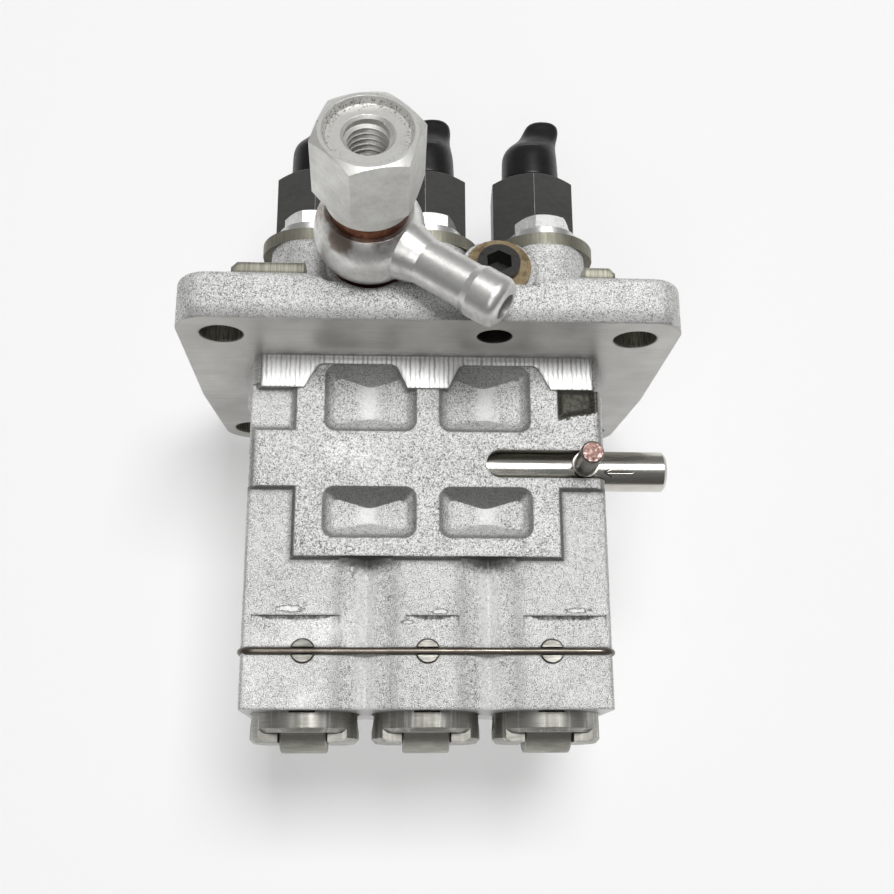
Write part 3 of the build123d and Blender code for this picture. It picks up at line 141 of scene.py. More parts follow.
# ---- Node graphs -----------------------------------------------------------------------
class Graph:
    """Short calls that build the node tree of one material."""

    def __init__(self, name):
        self.material = bpy.data.materials.new(name)
        self.material.use_nodes = True
        self.tree = self.material.node_tree
        self.tree.nodes.clear()
        self.coords = self.make("TexCoord")
        self.place = self.scaled(self.coords.outputs["Object"], 1 / MM)
        self.facing = self.coords.outputs["Normal"]

    def make(self, kind, **settings):
        node = self.tree.nodes.new("ShaderNode" + kind)
        for key, value in settings.items():
            setattr(node, key, value)
        return node

    def put(self, socket, value):
        if isinstance(value, bpy.types.NodeSocket):
            self.tree.links.new(value, socket)
        elif socket.type == "RGBA" and len(value) == 3:
            socket.default_value = (*value, 1.0)
        else:
            socket.default_value = value

    def scaled(self, vector, factors):
        """The vector times one number or three."""
        node = self.make("VectorMath", operation="MULTIPLY")
        if isinstance(factors, (int, float)):
            factors = (factors,) * 3
        self.put(node.inputs[0], vector)
        self.put(node.inputs[1], factors)
        return node.outputs[0]

    def parts(self, vector):
        return self.make_with("SeparateXYZ", vector).outputs

    def make_with(self, kind, *values, **settings):
        node = self.make(kind, **settings)
        for socket, value in zip(node.inputs, values):
            self.put(socket, value)
        return node

    def math(self, operation, *values, clamp=False):
        return self.make_with("Math", *values, operation=operation, use_clamp=clamp).outputs[0]

    def ramp(self, value, low, high, to_low=0.0, to_high=1.0):
        """Maps low..high to to_low..to_high, smoothly and without overshoot."""
        node = self.make("MapRange", interpolation_type="SMOOTHSTEP")
        for socket, item in zip(node.inputs, (value, low, high, to_low, to_high)):
            self.put(socket, item)
        return node.outputs[0]

    def band(self, value, low, high, blur):
        """One between two levels, zero outside."""
        rise = self.ramp(value, low - blur, low + blur)
        fall = self.ramp(value, high - blur, high + blur, 1.0, 0.0)
        return self.math("MULTIPLY", rise, fall)

    def noise(self, scale, detail=3.0, rough=0.55, stretch=1.0, warp=0.0):
        """Noise of about -0.3..0.3 round one half; scale is features per millimetre."""
        node = self.make("TexNoise")
        self.put(node.inputs["Vector"], self.scaled(self.place, stretch))
        for key, value in (("Scale", scale), ("Detail", detail), ("Roughness", rough),
                           ("Distortion", warp)):
            self.put(node.inputs[key], value)
        return node.outputs["Fac"]

    def cells(self, scale, feature="F1", stretch=1.0):
        node = self.make("TexVoronoi", feature=feature)
        self.put(node.inputs["Vector"], self.scaled(self.place, stretch))
        self.put(node.inputs["Scale"], scale)
        return node.outputs["Distance"]

    def tints(self, value, *stops):
        """Colour ramp through (position, colour) stops."""
        node = self.make("ValToRGB")
        self.put(node.inputs[0], value)
        row = node.color_ramp.elements
        while len(row) < len(stops):
            row.new(0.5)
        for element, (position, colour) in zip(row, stops):
            element.position = position
            element.color = (*colour, 1.0)
        return node.outputs["Color"]

    def mix(self, share, first, second, blend="MIX"):
        node = self.make("Mix", data_type="RGBA", blend_type=blend)
        self.put(node.inputs["Factor"], share)
        self.put(node.inputs[6], first)
        self.put(node.inputs[7], second)
        return node.outputs[2]

    def blend(self, share, first, second):
        node = self.make("Mix", data_type="FLOAT")
        for socket, value in zip((node.inputs[0], node.inputs[2], node.inputs[3]),
                                 (share, first, second)):
            self.put(socket, value)
        return node.outputs[0]

    def rounded(self, radius):
        """Normal of edges rounded by the shading."""
        node = self.make("Bevel", samples=4)
        self.put(node.inputs["Radius"], radius * MM)
        return node.outputs["Normal"]

    def edges(self, radius, low=0.02, high=0.25):
        """One along sharp edges and zero on open faces."""
        plain = self.make("NewGeometry").outputs["True Normal"]
        node = self.make("VectorMath", operation="DOT_PRODUCT")
        self.put(node.inputs[0], self.rounded(radius))
        self.put(node.inputs[1], plain)
        return self.ramp(self.math("SUBTRACT", 1.0, node.outputs["Value"]), low, high)

    def bump(self, height, depth, strength=1.0, normal=None):
        """Bump whose height 0..1 stands for a depth in millimetres."""
        node = self.make("Bump")
        self.put(node.inputs["Strength"], strength)
        self.put(node.inputs["Distance"], depth * MM)
        self.put(node.inputs["Height"], height)
        if normal is not None:
            self.put(node.inputs["Normal"], normal)
        return node.outputs["Normal"]

    def finish(self, colour, rough, normal, **values):
        """Closes the graph with one shader; values are plain numbers."""
        shader = self.make("BsdfPrincipled")
        self.put(shader.inputs["Base Color"], colour)
        self.put(shader.inputs["Roughness"], rough)
        self.put(shader.inputs["Normal"], normal)
        for key, value in values.items():
            self.put(shader.inputs[key.replace("_", " ")], value)
        out = self.make("OutputMaterial")
        self.put(out.inputs["Surface"], shader.outputs[0])
        return self.material


# ---- Materials --------------------------------------------------------------------------------
CHIPS = (
    # x, z, half width, half height of places where the cast skin has broken off
    (-28.0, -54.2, 2.6, 0.75), (-15.0, -46.0, 1.0, 0.8), (-15.9, -42.0, 0.9, 0.5),
    (2.4, -54.6, 2.2, 0.55), (-4.2, -56.8, 1.0, 0.4), (30.5, -54.4, 2.4, 0.5),
    (-33.5, -37.2, 0.35, 0.35), (-29.1, -50.8, 0.4, 0.35), (-28.4, -52.1, 0.3, 0.3),
)


def flat_disc(g, x, y, middle, radius, blur=0.05):
    """One inside a circle of the plane."""
    dx = g.math("SUBTRACT", x, middle[0])
    dy = g.math("SUBTRACT", y, middle[1])
    square = g.math("ADD", g.math("MULTIPLY", dx, dx), g.math("MULTIPLY", dy, dy))
    return g.ramp(g.math("SQRT", square), radius - blur, radius + blur, 1.0, 0.0)


def chip_mask(g, x, z, ahead):
    """Ragged patches on the cast front."""
    ragged = g.math("MULTIPLY", g.math("SUBTRACT", g.noise(0.9, 4.0, 0.75), 0.5), 2.6)
    mask = 0.0
    for cx, cz, wide, high in CHIPS:
        dx = g.math("MULTIPLY", g.math("SUBTRACT", x, cx), 1 / wide)
        dz = g.math("MULTIPLY", g.math("SUBTRACT", z, cz), 1 / high)
        away = g.math("SQRT", g.math("ADD", g.math("MULTIPLY", dx, dx), g.math("MULTIPLY", dz, dz)))
        mask = g.math("MAXIMUM", mask, g.ramp(g.math("ADD", away, ragged), 0.60, 1.15, 1.0, 0.0))
    return g.math("MULTIPLY", mask, ahead)


def cast_aluminium():
    """Sand-cast body with milled faces where the pump mates and clamps."""
    g = Graph("cast_aluminium")
    x, y, z = g.parts(g.place)
    _, facing_y, facing_z = g.parts(g.facing)
    wide = g.math("ABSOLUTE", x)
    ahead = g.ramp(facing_y, -0.97, -0.85, 1.0, 0.0)
    down = g.ramp(facing_z, -0.9, -0.7, 1.0, 0.0)
    # the skin left by the mould
    blotch = g.noise(0.09, 3.0)
    sand = g.noise(4.4, 2.0, 0.6)
    lumps = g.noise(1.3, 3.0, 0.6)
    rubbed = g.ramp(g.noise(0.055, 2.0, 0.5), 0.56, 0.74)
    pits = g.ramp(g.cells(1.9), 0.0, 0.13, 1.0, 0.0)
    grain = g.math("ADD", g.math("MULTIPLY", sand, 0.75), g.math("MULTIPLY", lumps, 0.25))
    grain = g.blend(g.math("MULTIPLY", rubbed, 0.35), grain, 0.475)
    grain = g.math("ADD", grain, g.math("MULTIPLY", g.math("SUBTRACT", blotch, 0.5), 0.12))
    cast = g.tints(grain, (0.36, (0.13, 0.13, 0.122)), (0.45, (0.55, 0.55, 0.535)),
                   (0.57, (0.91, 0.91, 0.90)))
    cast = g.mix(g.math("MULTIPLY", pits, 0.4), cast, (0.30, 0.30, 0.29))
    # painted shade: walls that slope away are darkened, those facing down all over and the others near the rim of the
    # raised front
    slope = g.ramp(facing_y, -0.96, -0.80)
    in_front = g.math("MULTIPLY", g.ramp(y, -9.0, -10.5), g.ramp(z, -0.4, -1.2))
    slope = g.math("MULTIPLY", slope, in_front)
    under = g.ramp(facing_z, -0.25, -0.55)
    rim = g.ramp(y, RAISED_FRONT + 0.3, RAISED_FRONT + 1.5, 0.60, 0.0)
    lens = g.ramp(z, RACK_Z - 1.0, RACK_Z + 1.0, 0.82, 0.55)
    cast = g.mix(g.math("MULTIPLY", slope, g.blend(under, rim, lens)), cast, (0.12, 0.12, 0.112))
    # painted shade (the scale mask) at the upper ends of the hollows between the tappet bores, where they run in under
    # the frame
    across = g.math("MULTIPLY", g.math("SUBTRACT", wide, PITCH / 2), 1 / 9.5)
    fall = g.math("MULTIPLY", g.math("SUBTRACT", z, FRAME_BOTTOM), 1 / 4.0)
    away = g.math("ADD", g.math("MULTIPLY", across, across), g.math("MULTIPLY", fall, fall))
    away = g.math("ADD", g.math("SQRT", away), g.math("MULTIPLY", g.math("SUBTRACT", lumps, 0.5), 0.5))
    scale = g.math("MULTIPLY", g.ramp(away, 0.35, 1.05, 1.0, 0.0), g.ramp(z, FRAME_BOTTOM + 0.05, FRAME_BOTTOM - 0.05))
    scale = g.math("MULTIPLY", scale, g.ramp(y, -5.0, -6.5))
    cast = g.mix(g.math("MULTIPLY", scale, 0.92), cast, (0.06, 0.06, 0.056))
    # the middle of each pocket's floor and of each hollow catches the light
    valley = g.ramp(g.math("ABSOLUTE", g.math("SUBTRACT", wide, PITCH / 2)), 0.6, 3.4, 1.0, 0.0)
    floors = g.math("MULTIPLY", g.ramp(facing_y, -0.80, -0.93), g.ramp(y, RAISED_FRONT + 0.9, RAISED_FRONT + 2.0))
    valley = g.math("MULTIPLY", g.math("MULTIPLY", valley, floors), g.ramp(y, -5.0, -6.5))
    valley = g.math("MULTIPLY", valley, g.math("SUBTRACT", 1.0, scale))
    cast = g.mix(g.math("MULTIPLY", valley, 0.75), cast, (0.93, 0.93, 0.92))
    # painted shade on the flanks of each hollow, either side of its lightened middle
    flank = g.band(g.math("ABSOLUTE", g.math("SUBTRACT", wide, PITCH / 2)), 4.4, 6.6, 1.8)
    flank = g.math("MULTIPLY", flank, g.math("MULTIPLY", g.ramp(z, FRAME_BOTTOM, FRAME_BOTTOM - 1.5), g.ramp(y, -5.0, -6.5)))
    cast = g.mix(g.math("MULTIPLY", flank, 0.42), cast, (0.20, 0.20, 0.19))
    # the open end of the recess on the right is painted dark, with a broken, ragged lower edge
    sill = g.math("ADD", g.math("MULTIPLY", x, 0.22), g.math("MULTIPLY", g.noise(0.9, 4.0, 0.7), 3.2))
    sill = g.math("SUBTRACT", z, g.math("SUBTRACT", sill, 21.7))
    notch = g.math("MULTIPLY", g.ramp(x, 27.4, 28.0), g.ramp(x, 36.6, 36.2))
    notch = g.math("MULTIPLY", notch, g.math("MULTIPLY", g.ramp(sill, -0.12, 0.12), g.ramp(z, -7.15, -7.35)))
    notch = g.math("MULTIPLY", notch, g.ramp(y, -9.0, -10.0))
    notch_dark = g.tints(g.noise(1.6, 3.0, 0.6), (0.4, (0.035, 0.033, 0.024)), (0.62, (0.12, 0.115, 0.09)))
    cast = g.mix(g.math("MULTIPLY", notch, 0.95), cast, notch_dark)
    # soft shade round the raised frame and under the rail
    beside = g.math("MAXIMUM", g.math("SUBTRACT", wide, FRAME_HALF), 0.0)
    below = g.math("MAXIMUM", g.math("SUBTRACT", FRAME_BOTTOM, z), 0.0)
    off = g.math("SQRT", g.math("ADD", g.math("MULTIPLY", beside, beside), g.math("MULTIPLY", below, below)))
    outside = g.math("MULTIPLY", g.ramp(off, 0.005, 0.03), g.ramp(z, RAIL_BOTTOM, RAIL_BOTTOM - 0.1))
    off = g.math("MINIMUM", off, g.math("ABSOLUTE", g.math("SUBTRACT", RAIL_BOTTOM, z)))
    shade = g.math("MULTIPLY", g.ramp(off, 0.2, 2.2, 0.62, 0.0), outside)
    shade = g.math("MULTIPLY", shade, g.band(y, RAISED_FRONT + 0.25, -11.5, 0.15))
    cast = g.mix(shade, cast, (0.10, 0.10, 0.095))
    # painted shadow under the small parting ledges, darkest under their ragged upper edges
    spans = 0.0
    for low, high in CREASE_SPANS:
        spans = g.math("MAXIMUM", spans, g.band(x, low + 2.0, high - 2.0, 2.0))
    drop = g.math("ADD", g.math("SUBTRACT", CREASE_LEVEL, z), g.math("MULTIPLY", g.math("SUBTRACT", lumps, 0.5), 0.8))
    ledge = g.math("MULTIPLY", g.ramp(g.math("SUBTRACT", g.math("MULTIPLY", spans, 0.95), drop), -0.15, 0.35),
                   g.math("MULTIPLY", g.ramp(z, CREASE_LEVEL + 0.05, CREASE_LEVEL - 0.02), g.ramp(spans, 0.02, 0.2)))
    ledge = g.math("MULTIPLY", ledge, g.band(y, CAST_FRONT - 0.05, CAST_FRONT + 1.5, 0.15))
    # the painted shadow is uneven in strength along the ledges
    patchy_shade = g.ramp(g.noise(0.8, 3.0, 0.7, (1.0, 1.0, 0.5)), 0.30, 0.62, 0.45, 1.0)
    cast = g.mix(g.math("MULTIPLY", ledge, patchy_shade), cast, (0.10, 0.10, 0.095))
    # painted shade: the gap round each guide pin is painted near black
    gap = 0.0
    for column in (-PITCH, 0.0, PITCH):
        gap = g.math("MAXIMUM", gap, flat_disc(g, x, z, (column, GUIDE_PIN_Z), GUIDE_PIN_R + 0.28, 0.10))
    gap = g.math("MULTIPLY", gap, g.ramp(y, -12.6, -13.2))
    cast = g.mix(gap, cast, (0.035, 0.034, 0.030))
    chips = chip_mask(g, x, z, g.ramp(y, -13.0, -13.6))
    cast = g.mix(g.math("MULTIPLY", chips, 0.8), cast, (0.94, 0.94, 0.93))
    # painted shadow: a dark ring just inside each chip's ragged edge
    cast = g.mix(g.math("MULTIPLY", g.band(chips, 0.08, 0.82, 0.08), 0.55), cast, (0.14, 0.14, 0.135))
    # painted shade on the lower lip of the flange's front, where it rounds down to the mating face
    lip = g.math("MULTIPLY", g.ramp(z, 4.0, 0.4), g.ramp(y, FLANGE_FRONT + 1.6, FLANGE_FRONT + 0.6))
    cast = g.mix(g.math("MULTIPLY", lip, 0.55), cast, (0.16, 0.16, 0.15))
    # the mating face, milled in long passes, and the stain along the spigot
    mating = g.math("MULTIPLY", g.band(z, -0.3, 0.3, 0.05), down)
    passes = g.noise(1.0, 4.0, 0.6, (0.05, 2.4, 0.05), 0.3)
    clouds = g.noise(0.05, 4.0, 0.6)
    tone = g.math("ADD", g.math("MULTIPLY", passes, 0.35), g.math("MULTIPLY", clouds, 0.65))
    milled = g.tints(tone, (0.34, (0.44, 0.43, 0.405)), (0.52, (0.54, 0.53, 0.50)),
                     (0.68, (0.66, 0.65, 0.625)))
    stain = g.math("MULTIPLY", g.ramp(y, -19.0, -15.6), g.ramp(g.noise(0.35, 4.0, 0.7), 0.38, 0.58))
    stain = g.math("MULTIPLY", stain, g.ramp(wide, 37.0, 35.0))
    milled = g.mix(g.math("MULTIPLY", stain, 0.5), milled, (0.19, 0.165, 0.13))
    # the spigot: a flat band with upright cutter marks between turned ends
    level = g.band(z, -SPIGOT_DEPTH - 0.05, -0.05, 0.02)
    band = g.math("MULTIPLY", level, g.ramp(y, SPIGOT_FRONT + 0.12, SPIGOT_FRONT + 0.04))
    fine = g.noise(1.0, 3.0, 0.6, (3.2, 1.0, 0.10), 0.15)
    beat = g.math("ADD", g.math("MULTIPLY", x, 2 * pi / 1.02), g.math("MULTIPLY", g.noise(0.5), 5.0))
    beat = g.math("ADD", g.math("MULTIPLY", g.math("SINE", beat), 0.5), 0.5)
    strokes = g.math("ADD", g.math("MULTIPLY", fine, 0.72), g.math("MULTIPLY", beat, 0.28))
    milled_band = g.tints(strokes, (0.30, (0.42, 0.42, 0.41)), (0.44, (0.80, 0.80, 0.79)),
                          (0.60, (0.93, 0.93, 0.92)))
    ends = g.math("MULTIPLY", level, g.ramp(wide, 35.6, 36.6))
    turned = g.tints(g.noise(1.0, 2.0, 0.5, (0.3, 0.3, 4.0)), (0.4, (0.52, 0.515, 0.50)),
                     (0.6, (0.66, 0.655, 0.64)))
    top = g.math("MULTIPLY", g.band(z, HEAD_TOP - 0.1, HEAD_TOP + 0.1, 0.02),
                 g.ramp(facing_z, 0.7, 0.9))
    bottom = g.math("MULTIPLY", g.ramp(z, BODY_BOTTOM + 0.15, BODY_BOTTOM + 0.05), down)
    # sheared front of the milled pads
    pad = g.math("MULTIPLY", g.band(z, FLANGE_THICK + 0.05, PAD_TOP, 0.05),
                 g.math("MULTIPLY", ahead, g.ramp(y, FLANGE_FRONT + 2.2, FLANGE_FRONT + 1.8)))
    ribs = g.noise(1.0, 2.0, 0.5, (3.6, 1.0, 0.12))
    sheared = g.tints(ribs, (0.38, (0.15, 0.145, 0.115)), (0.60, (0.27, 0.26, 0.215)))
    # drilled and bored surfaces
    across = g.math("SUBTRACT", wide, MOUNT_HALF_X)
    along = g.math("SUBTRACT", g.math("ABSOLUTE", g.math("SUBTRACT", y, MOUNT_MID_Y)), MOUNT_HALF_Y)
    holes = flat_disc(g, across, along, (0.0, 0.0), MOUNT_HOLE_R + 0.1)
    holes = g.math("MULTIPLY", holes, g.ramp(z, -0.5, -0.2))
    # the drain's bore is painted near black: painted shade inside the hole
    drain = g.math("MULTIPLY", flat_disc(g, x, y, (DRAIN_X, DRAIN_Y), DRAIN_R + 0.1),
                   g.math("MULTIPLY", g.ramp(z, -0.5, -0.2), g.ramp(z, 9.0, 8.0)))
    slot = g.math("MULTIPLY", flat_disc(g, y, z, (RACK_Y, RACK_Z), RACK_R + 0.1), g.ramp(x, 9.0, 11.0))
    reach = g.math("MULTIPLY", g.band(z, RACK_Z - 3.12, RACK_Z + 3.12, 0.02), g.ramp(x, 12.3, 12.5))
    reach = g.math("MULTIPLY", reach, g.band(y, RAISED_FRONT + 0.08, RACK_Y + RACK_R, 0.04))
    slot = g.math("MAXIMUM", slot, g.math("MULTIPLY", reach, g.ramp(wide, 37.4, 37.2)))
    bored = g.tints(g.noise(1.0, 2.0, 0.5, (4.0, 4.0, 0.4)), (0.4, (0.14, 0.135, 0.11)),
                    (0.62, (0.30, 0.29, 0.245)))
    colour = g.mix(mating, cast, milled)
    for mask, tint in ((ends, turned), (band, milled_band), (top, (0.60, 0.60, 0.59)),
                       (bottom, (0.62, 0.615, 0.60)), (pad, sheared), (holes, bored),
                       (slot, bored), (drain, (0.035, 0.033, 0.03))):
        colour = g.mix(mask, colour, tint)
    machined = mating
    for mask in (ends, band, top, bottom, pad, holes, slot, drain):
        machined = g.math("MAXIMUM", machined, mask)
    # painted shade from ambient occlusion in corners, creases and hollows, weaker deep in the hollows below the frame
    crevice_shade = g.make_with("AmbientOcclusion", (1.0, 1.0, 1.0, 1.0), samples=6)
    g.put(crevice_shade.inputs["Distance"], 2.5 * MM)
    flute = g.ramp(g.math("ABSOLUTE", g.math("SUBTRACT", wide, PITCH / 2)), 3.5, 5.5, 1.0, 0.0)
    flute = g.math("MULTIPLY", flute, g.ramp(z, -45.5, -46.5))
    open_air = g.math("MULTIPLY", flute, g.ramp(y, -10.0, -11.5))
    depth = g.ramp(crevice_shade.outputs["AO"], 0.25, 0.85, 0.65, 0.0)
    depth = g.math("MULTIPLY", depth, g.math("SUBTRACT", 1.0, g.math("MULTIPLY", open_air, 0.8)))
    colour = g.mix(depth, colour, (0.13, 0.127, 0.115))
    # edges lightened: partly rubbed bare metal, partly painted highlight
    bright = g.math("MULTIPLY", g.edges(0.35, 0.03, 0.3), 0.30)
    colour = g.mix(bright, colour, (0.90, 0.90, 0.89))
    cast_rough = g.ramp(sand, 0.3, 0.7, 0.62, 0.50)
    rough = g.blend(machined, cast_rough, g.ramp(tone, 0.3, 0.7, 0.42, 0.34))
    skin = g.math("ADD", g.math("MULTIPLY", sand, 0.5), g.math("MULTIPLY", lumps, 0.5))
    skin = g.blend(g.math("MULTIPLY", rubbed, 0.55), skin, 0.5)
    skin = g.math("SUBTRACT", skin, g.math("MULTIPLY", chips, 0.5))
    marks = g.blend(band, g.blend(pad, passes, ribs), g.math("MULTIPLY", strokes, 1.4))
    height = g.blend(machined, skin, g.math("MULTIPLY", marks, 0.02))
    normal = g.bump(height, 0.42, 0.85, g.rounded(SOFT_EDGE))
    return g.finish(colour, rough, normal, Metallic=0.65, Specular_IOR_Level=0.4)


def steel(name, dark, light, rough=(0.25, 0.4), grain=(0.6, 0.6, 0.6), depth=0.01, metal=1.0,
          edge=CRISP_EDGE, edge_tone=None, stain=None, stain_share=0.5, extra=None):
    """Metal surface whose colour wanders between two tones, with edges in a tone of their own; brighter edges are
    partly wear and partly painted highlight.
    """
    g = Graph(name)
    cloud = g.noise(0.16, 4.0, 0.6)
    line = g.noise(1.0, 4.0, 0.6, grain, 0.1)
    tone = g.math("ADD", g.math("MULTIPLY", cloud, 0.55), g.math("MULTIPLY", line, 0.45))
    colour = g.tints(tone, (0.36, dark), (0.64, light))
    if stain is not None:
        spots = g.ramp(g.noise(0.5, 5.0, 0.7), 0.52, 0.66, 0.0, stain_share)
        colour = g.mix(spots, colour, stain)
    # edges painted in their own tone: wear and painted highlight where it is brighter
    if edge_tone is not None:
        colour = g.mix(g.math("MULTIPLY", g.edges(edge), 0.8), colour, edge_tone)
    relief = line
    if extra is not None:
        colour, relief = extra(g, colour, line)
    normal = g.bump(relief, depth, 0.6, g.rounded(edge))
    return g.finish(colour, g.ramp(tone, 0.35, 0.65, rough[1], rough[0]), normal, Metallic=metal)


def scribed_arrow(g, colour, line):
    """Plain arrow scribed on the rack's front, which shows the way it is pushed."""
    x, y, z = g.parts(g.place)
    rise = g.math("SUBTRACT", z, ARROW_Z)
    off = g.math("ABSOLUTE", rise)
    shaft = g.math("MULTIPLY", g.ramp(off, 0.24, 0.14), g.band(x, ARROW_TIP, ARROW_END, 0.1))
    spread = g.math("ABSOLUTE", g.math("SUBTRACT", off, g.math("MULTIPLY", g.math("SUBTRACT", x, ARROW_TIP), 0.5)))
    head = g.math("MULTIPLY", g.ramp(spread, 0.24, 0.14), g.band(x, ARROW_TIP, ARROW_TIP + 1.9, 0.1))
    mark = g.math("MULTIPLY", g.math("MAXIMUM", shaft, head), g.ramp(y, RACK_Y - 3.0, RACK_Y - 3.4))
    colour = g.mix(g.math("MULTIPLY", mark, 0.75), colour, (0.12, 0.115, 0.10))
    return colour, g.math("SUBTRACT", line, g.math("MULTIPLY", mark, 6.0))


def tappet_front(g, colour, line):
    """Painted highlight in bright streaks up the tappet, and painted shade on the flats beside the roller."""
    _, facing_y, _ = g.parts(g.facing)
    streak = g.ramp(g.noise(0.9, 3.0, 0.6, (1.0, 1.0, 0.06)), 0.54, 0.64)
    flat = g.ramp(facing_y, -0.985, -0.997)
    colour = g.mix(g.math("MULTIPLY", streak, 0.55), colour, (0.70, 0.69, 0.66))
    return g.mix(g.math("MULTIPLY", flat, 0.75), colour, (0.11, 0.107, 0.093)), line


def pin_end(g, colour, line):
    """Reddish scale on the sawn end of the rack pin."""
    _, y, _ = g.parts(g.place)
    face = g.ramp(y, PIN_END + 0.12, PIN_END + 0.04)
    scale = g.tints(g.noise(1.6, 4.0, 0.7), (0.40, (0.035, 0.020, 0.017)), (0.54, (0.075, 0.044, 0.038)),
                    (0.68, (0.26, 0.21, 0.195)))
    return g.mix(face, colour, scale), g.math("ADD", line, g.math("MULTIPLY", face, g.noise(2.0)))


def turned_steps(g, colour, line):
    """Fine turned rings round the banjo's axis, and heat stain under the sealing washers."""
    x, y, z = g.parts(g.place)
    along = g.math("ADD", g.math("MULTIPLY", y, INLET_AXIS[1]), g.math("MULTIPLY", z, INLET_AXIS[2]))
    level = g.math("SUBTRACT", along, INLET_BASE)
    rings = g.math("SINE", g.math("MULTIPLY", level, 2 * pi / 0.55))
    low = g.band(level, 3.2, 6.4, 0.4)
    heat = g.math("MULTIPLY", g.band(level, 12.6, 16.2, 0.5), g.ramp(g.noise(0.16, 3.0, 0.55), 0.44, 0.62))
    heat = g.math("MULTIPLY", heat, g.ramp(x, INLET_X + 9.0, INLET_X + 5.0))
    colour = g.mix(g.math("MULTIPLY", heat, 0.75), colour, (0.17, 0.095, 0.055))
    return colour, g.math("ADD", line, g.math("MULTIPLY", rings, g.math("MULTIPLY", low, 0.9)))


def bore_dirt(g, colour, line):
    """Dark specks in the corner of the union bolt's counterbore, and a nick in its rim."""
    x, y, z = g.parts(g.place)
    along = g.math("ADD", g.math("MULTIPLY", y, INLET_AXIS[1]), g.math("MULTIPLY", z, INLET_AXIS[2]))
    level = g.math("SUBTRACT", along, INLET_BASE)
    off = g.math("SUBTRACT", x, INLET_X)
    rise = g.math("ADD", g.math("MULTIPLY", y, INLET_AXIS[2]), g.math("MULTIPLY", z, -INLET_AXIS[1]))
    rise = g.math("SUBTRACT", rise, -30.0 * INLET_AXIS[2] - 15.4 * INLET_AXIS[1])
    radius = g.math("SQRT", g.math("ADD", g.math("MULTIPLY", off, off), g.math("MULTIPLY", rise, rise)))
    corner = g.math("MULTIPLY", g.band(radius, 6.9, 8.6, 0.4), g.ramp(level, 34.4, 34.8))
    corner = g.math("MULTIPLY", corner, g.ramp(level, 36.4, 36.0))
    share = g.ramp(rise, -7.0, 7.0, 0.55, 1.0)
    specks = g.math("MULTIPLY", g.ramp(g.noise(2.2, 3.0, 0.7), 0.52, 0.60), g.math("MULTIPLY", corner, share))
    few = g.math("MULTIPLY", g.ramp(g.noise(0.9, 3.0, 0.7), 0.66, 0.70), g.ramp(level, 34.4, 34.8))
    dirt = g.math("MAXIMUM", specks, g.math("MULTIPLY", few, 0.7))
    colour = g.mix(g.math("MULTIPLY", dirt, 0.8), colour, (0.13, 0.125, 0.10))
    return colour, line


def plain_polymer(name, dark, light, rough, depth, scale, shine=0.5):
    """Rubber or soft vinyl with a faint moulded grain."""
    g = Graph(name)
    cloud = g.noise(0.2, 3.0)
    skin = g.noise(scale, 3.0, 0.6)
    colour = g.tints(cloud, (0.35, dark), (0.65, light))
    normal = g.bump(skin, depth, 0.5, g.rounded(CRISP_EDGE))
    return g.finish(colour, g.ramp(skin, 0.3, 0.7, rough[0], rough[1]), normal, Specular_IOR_Level=shine)


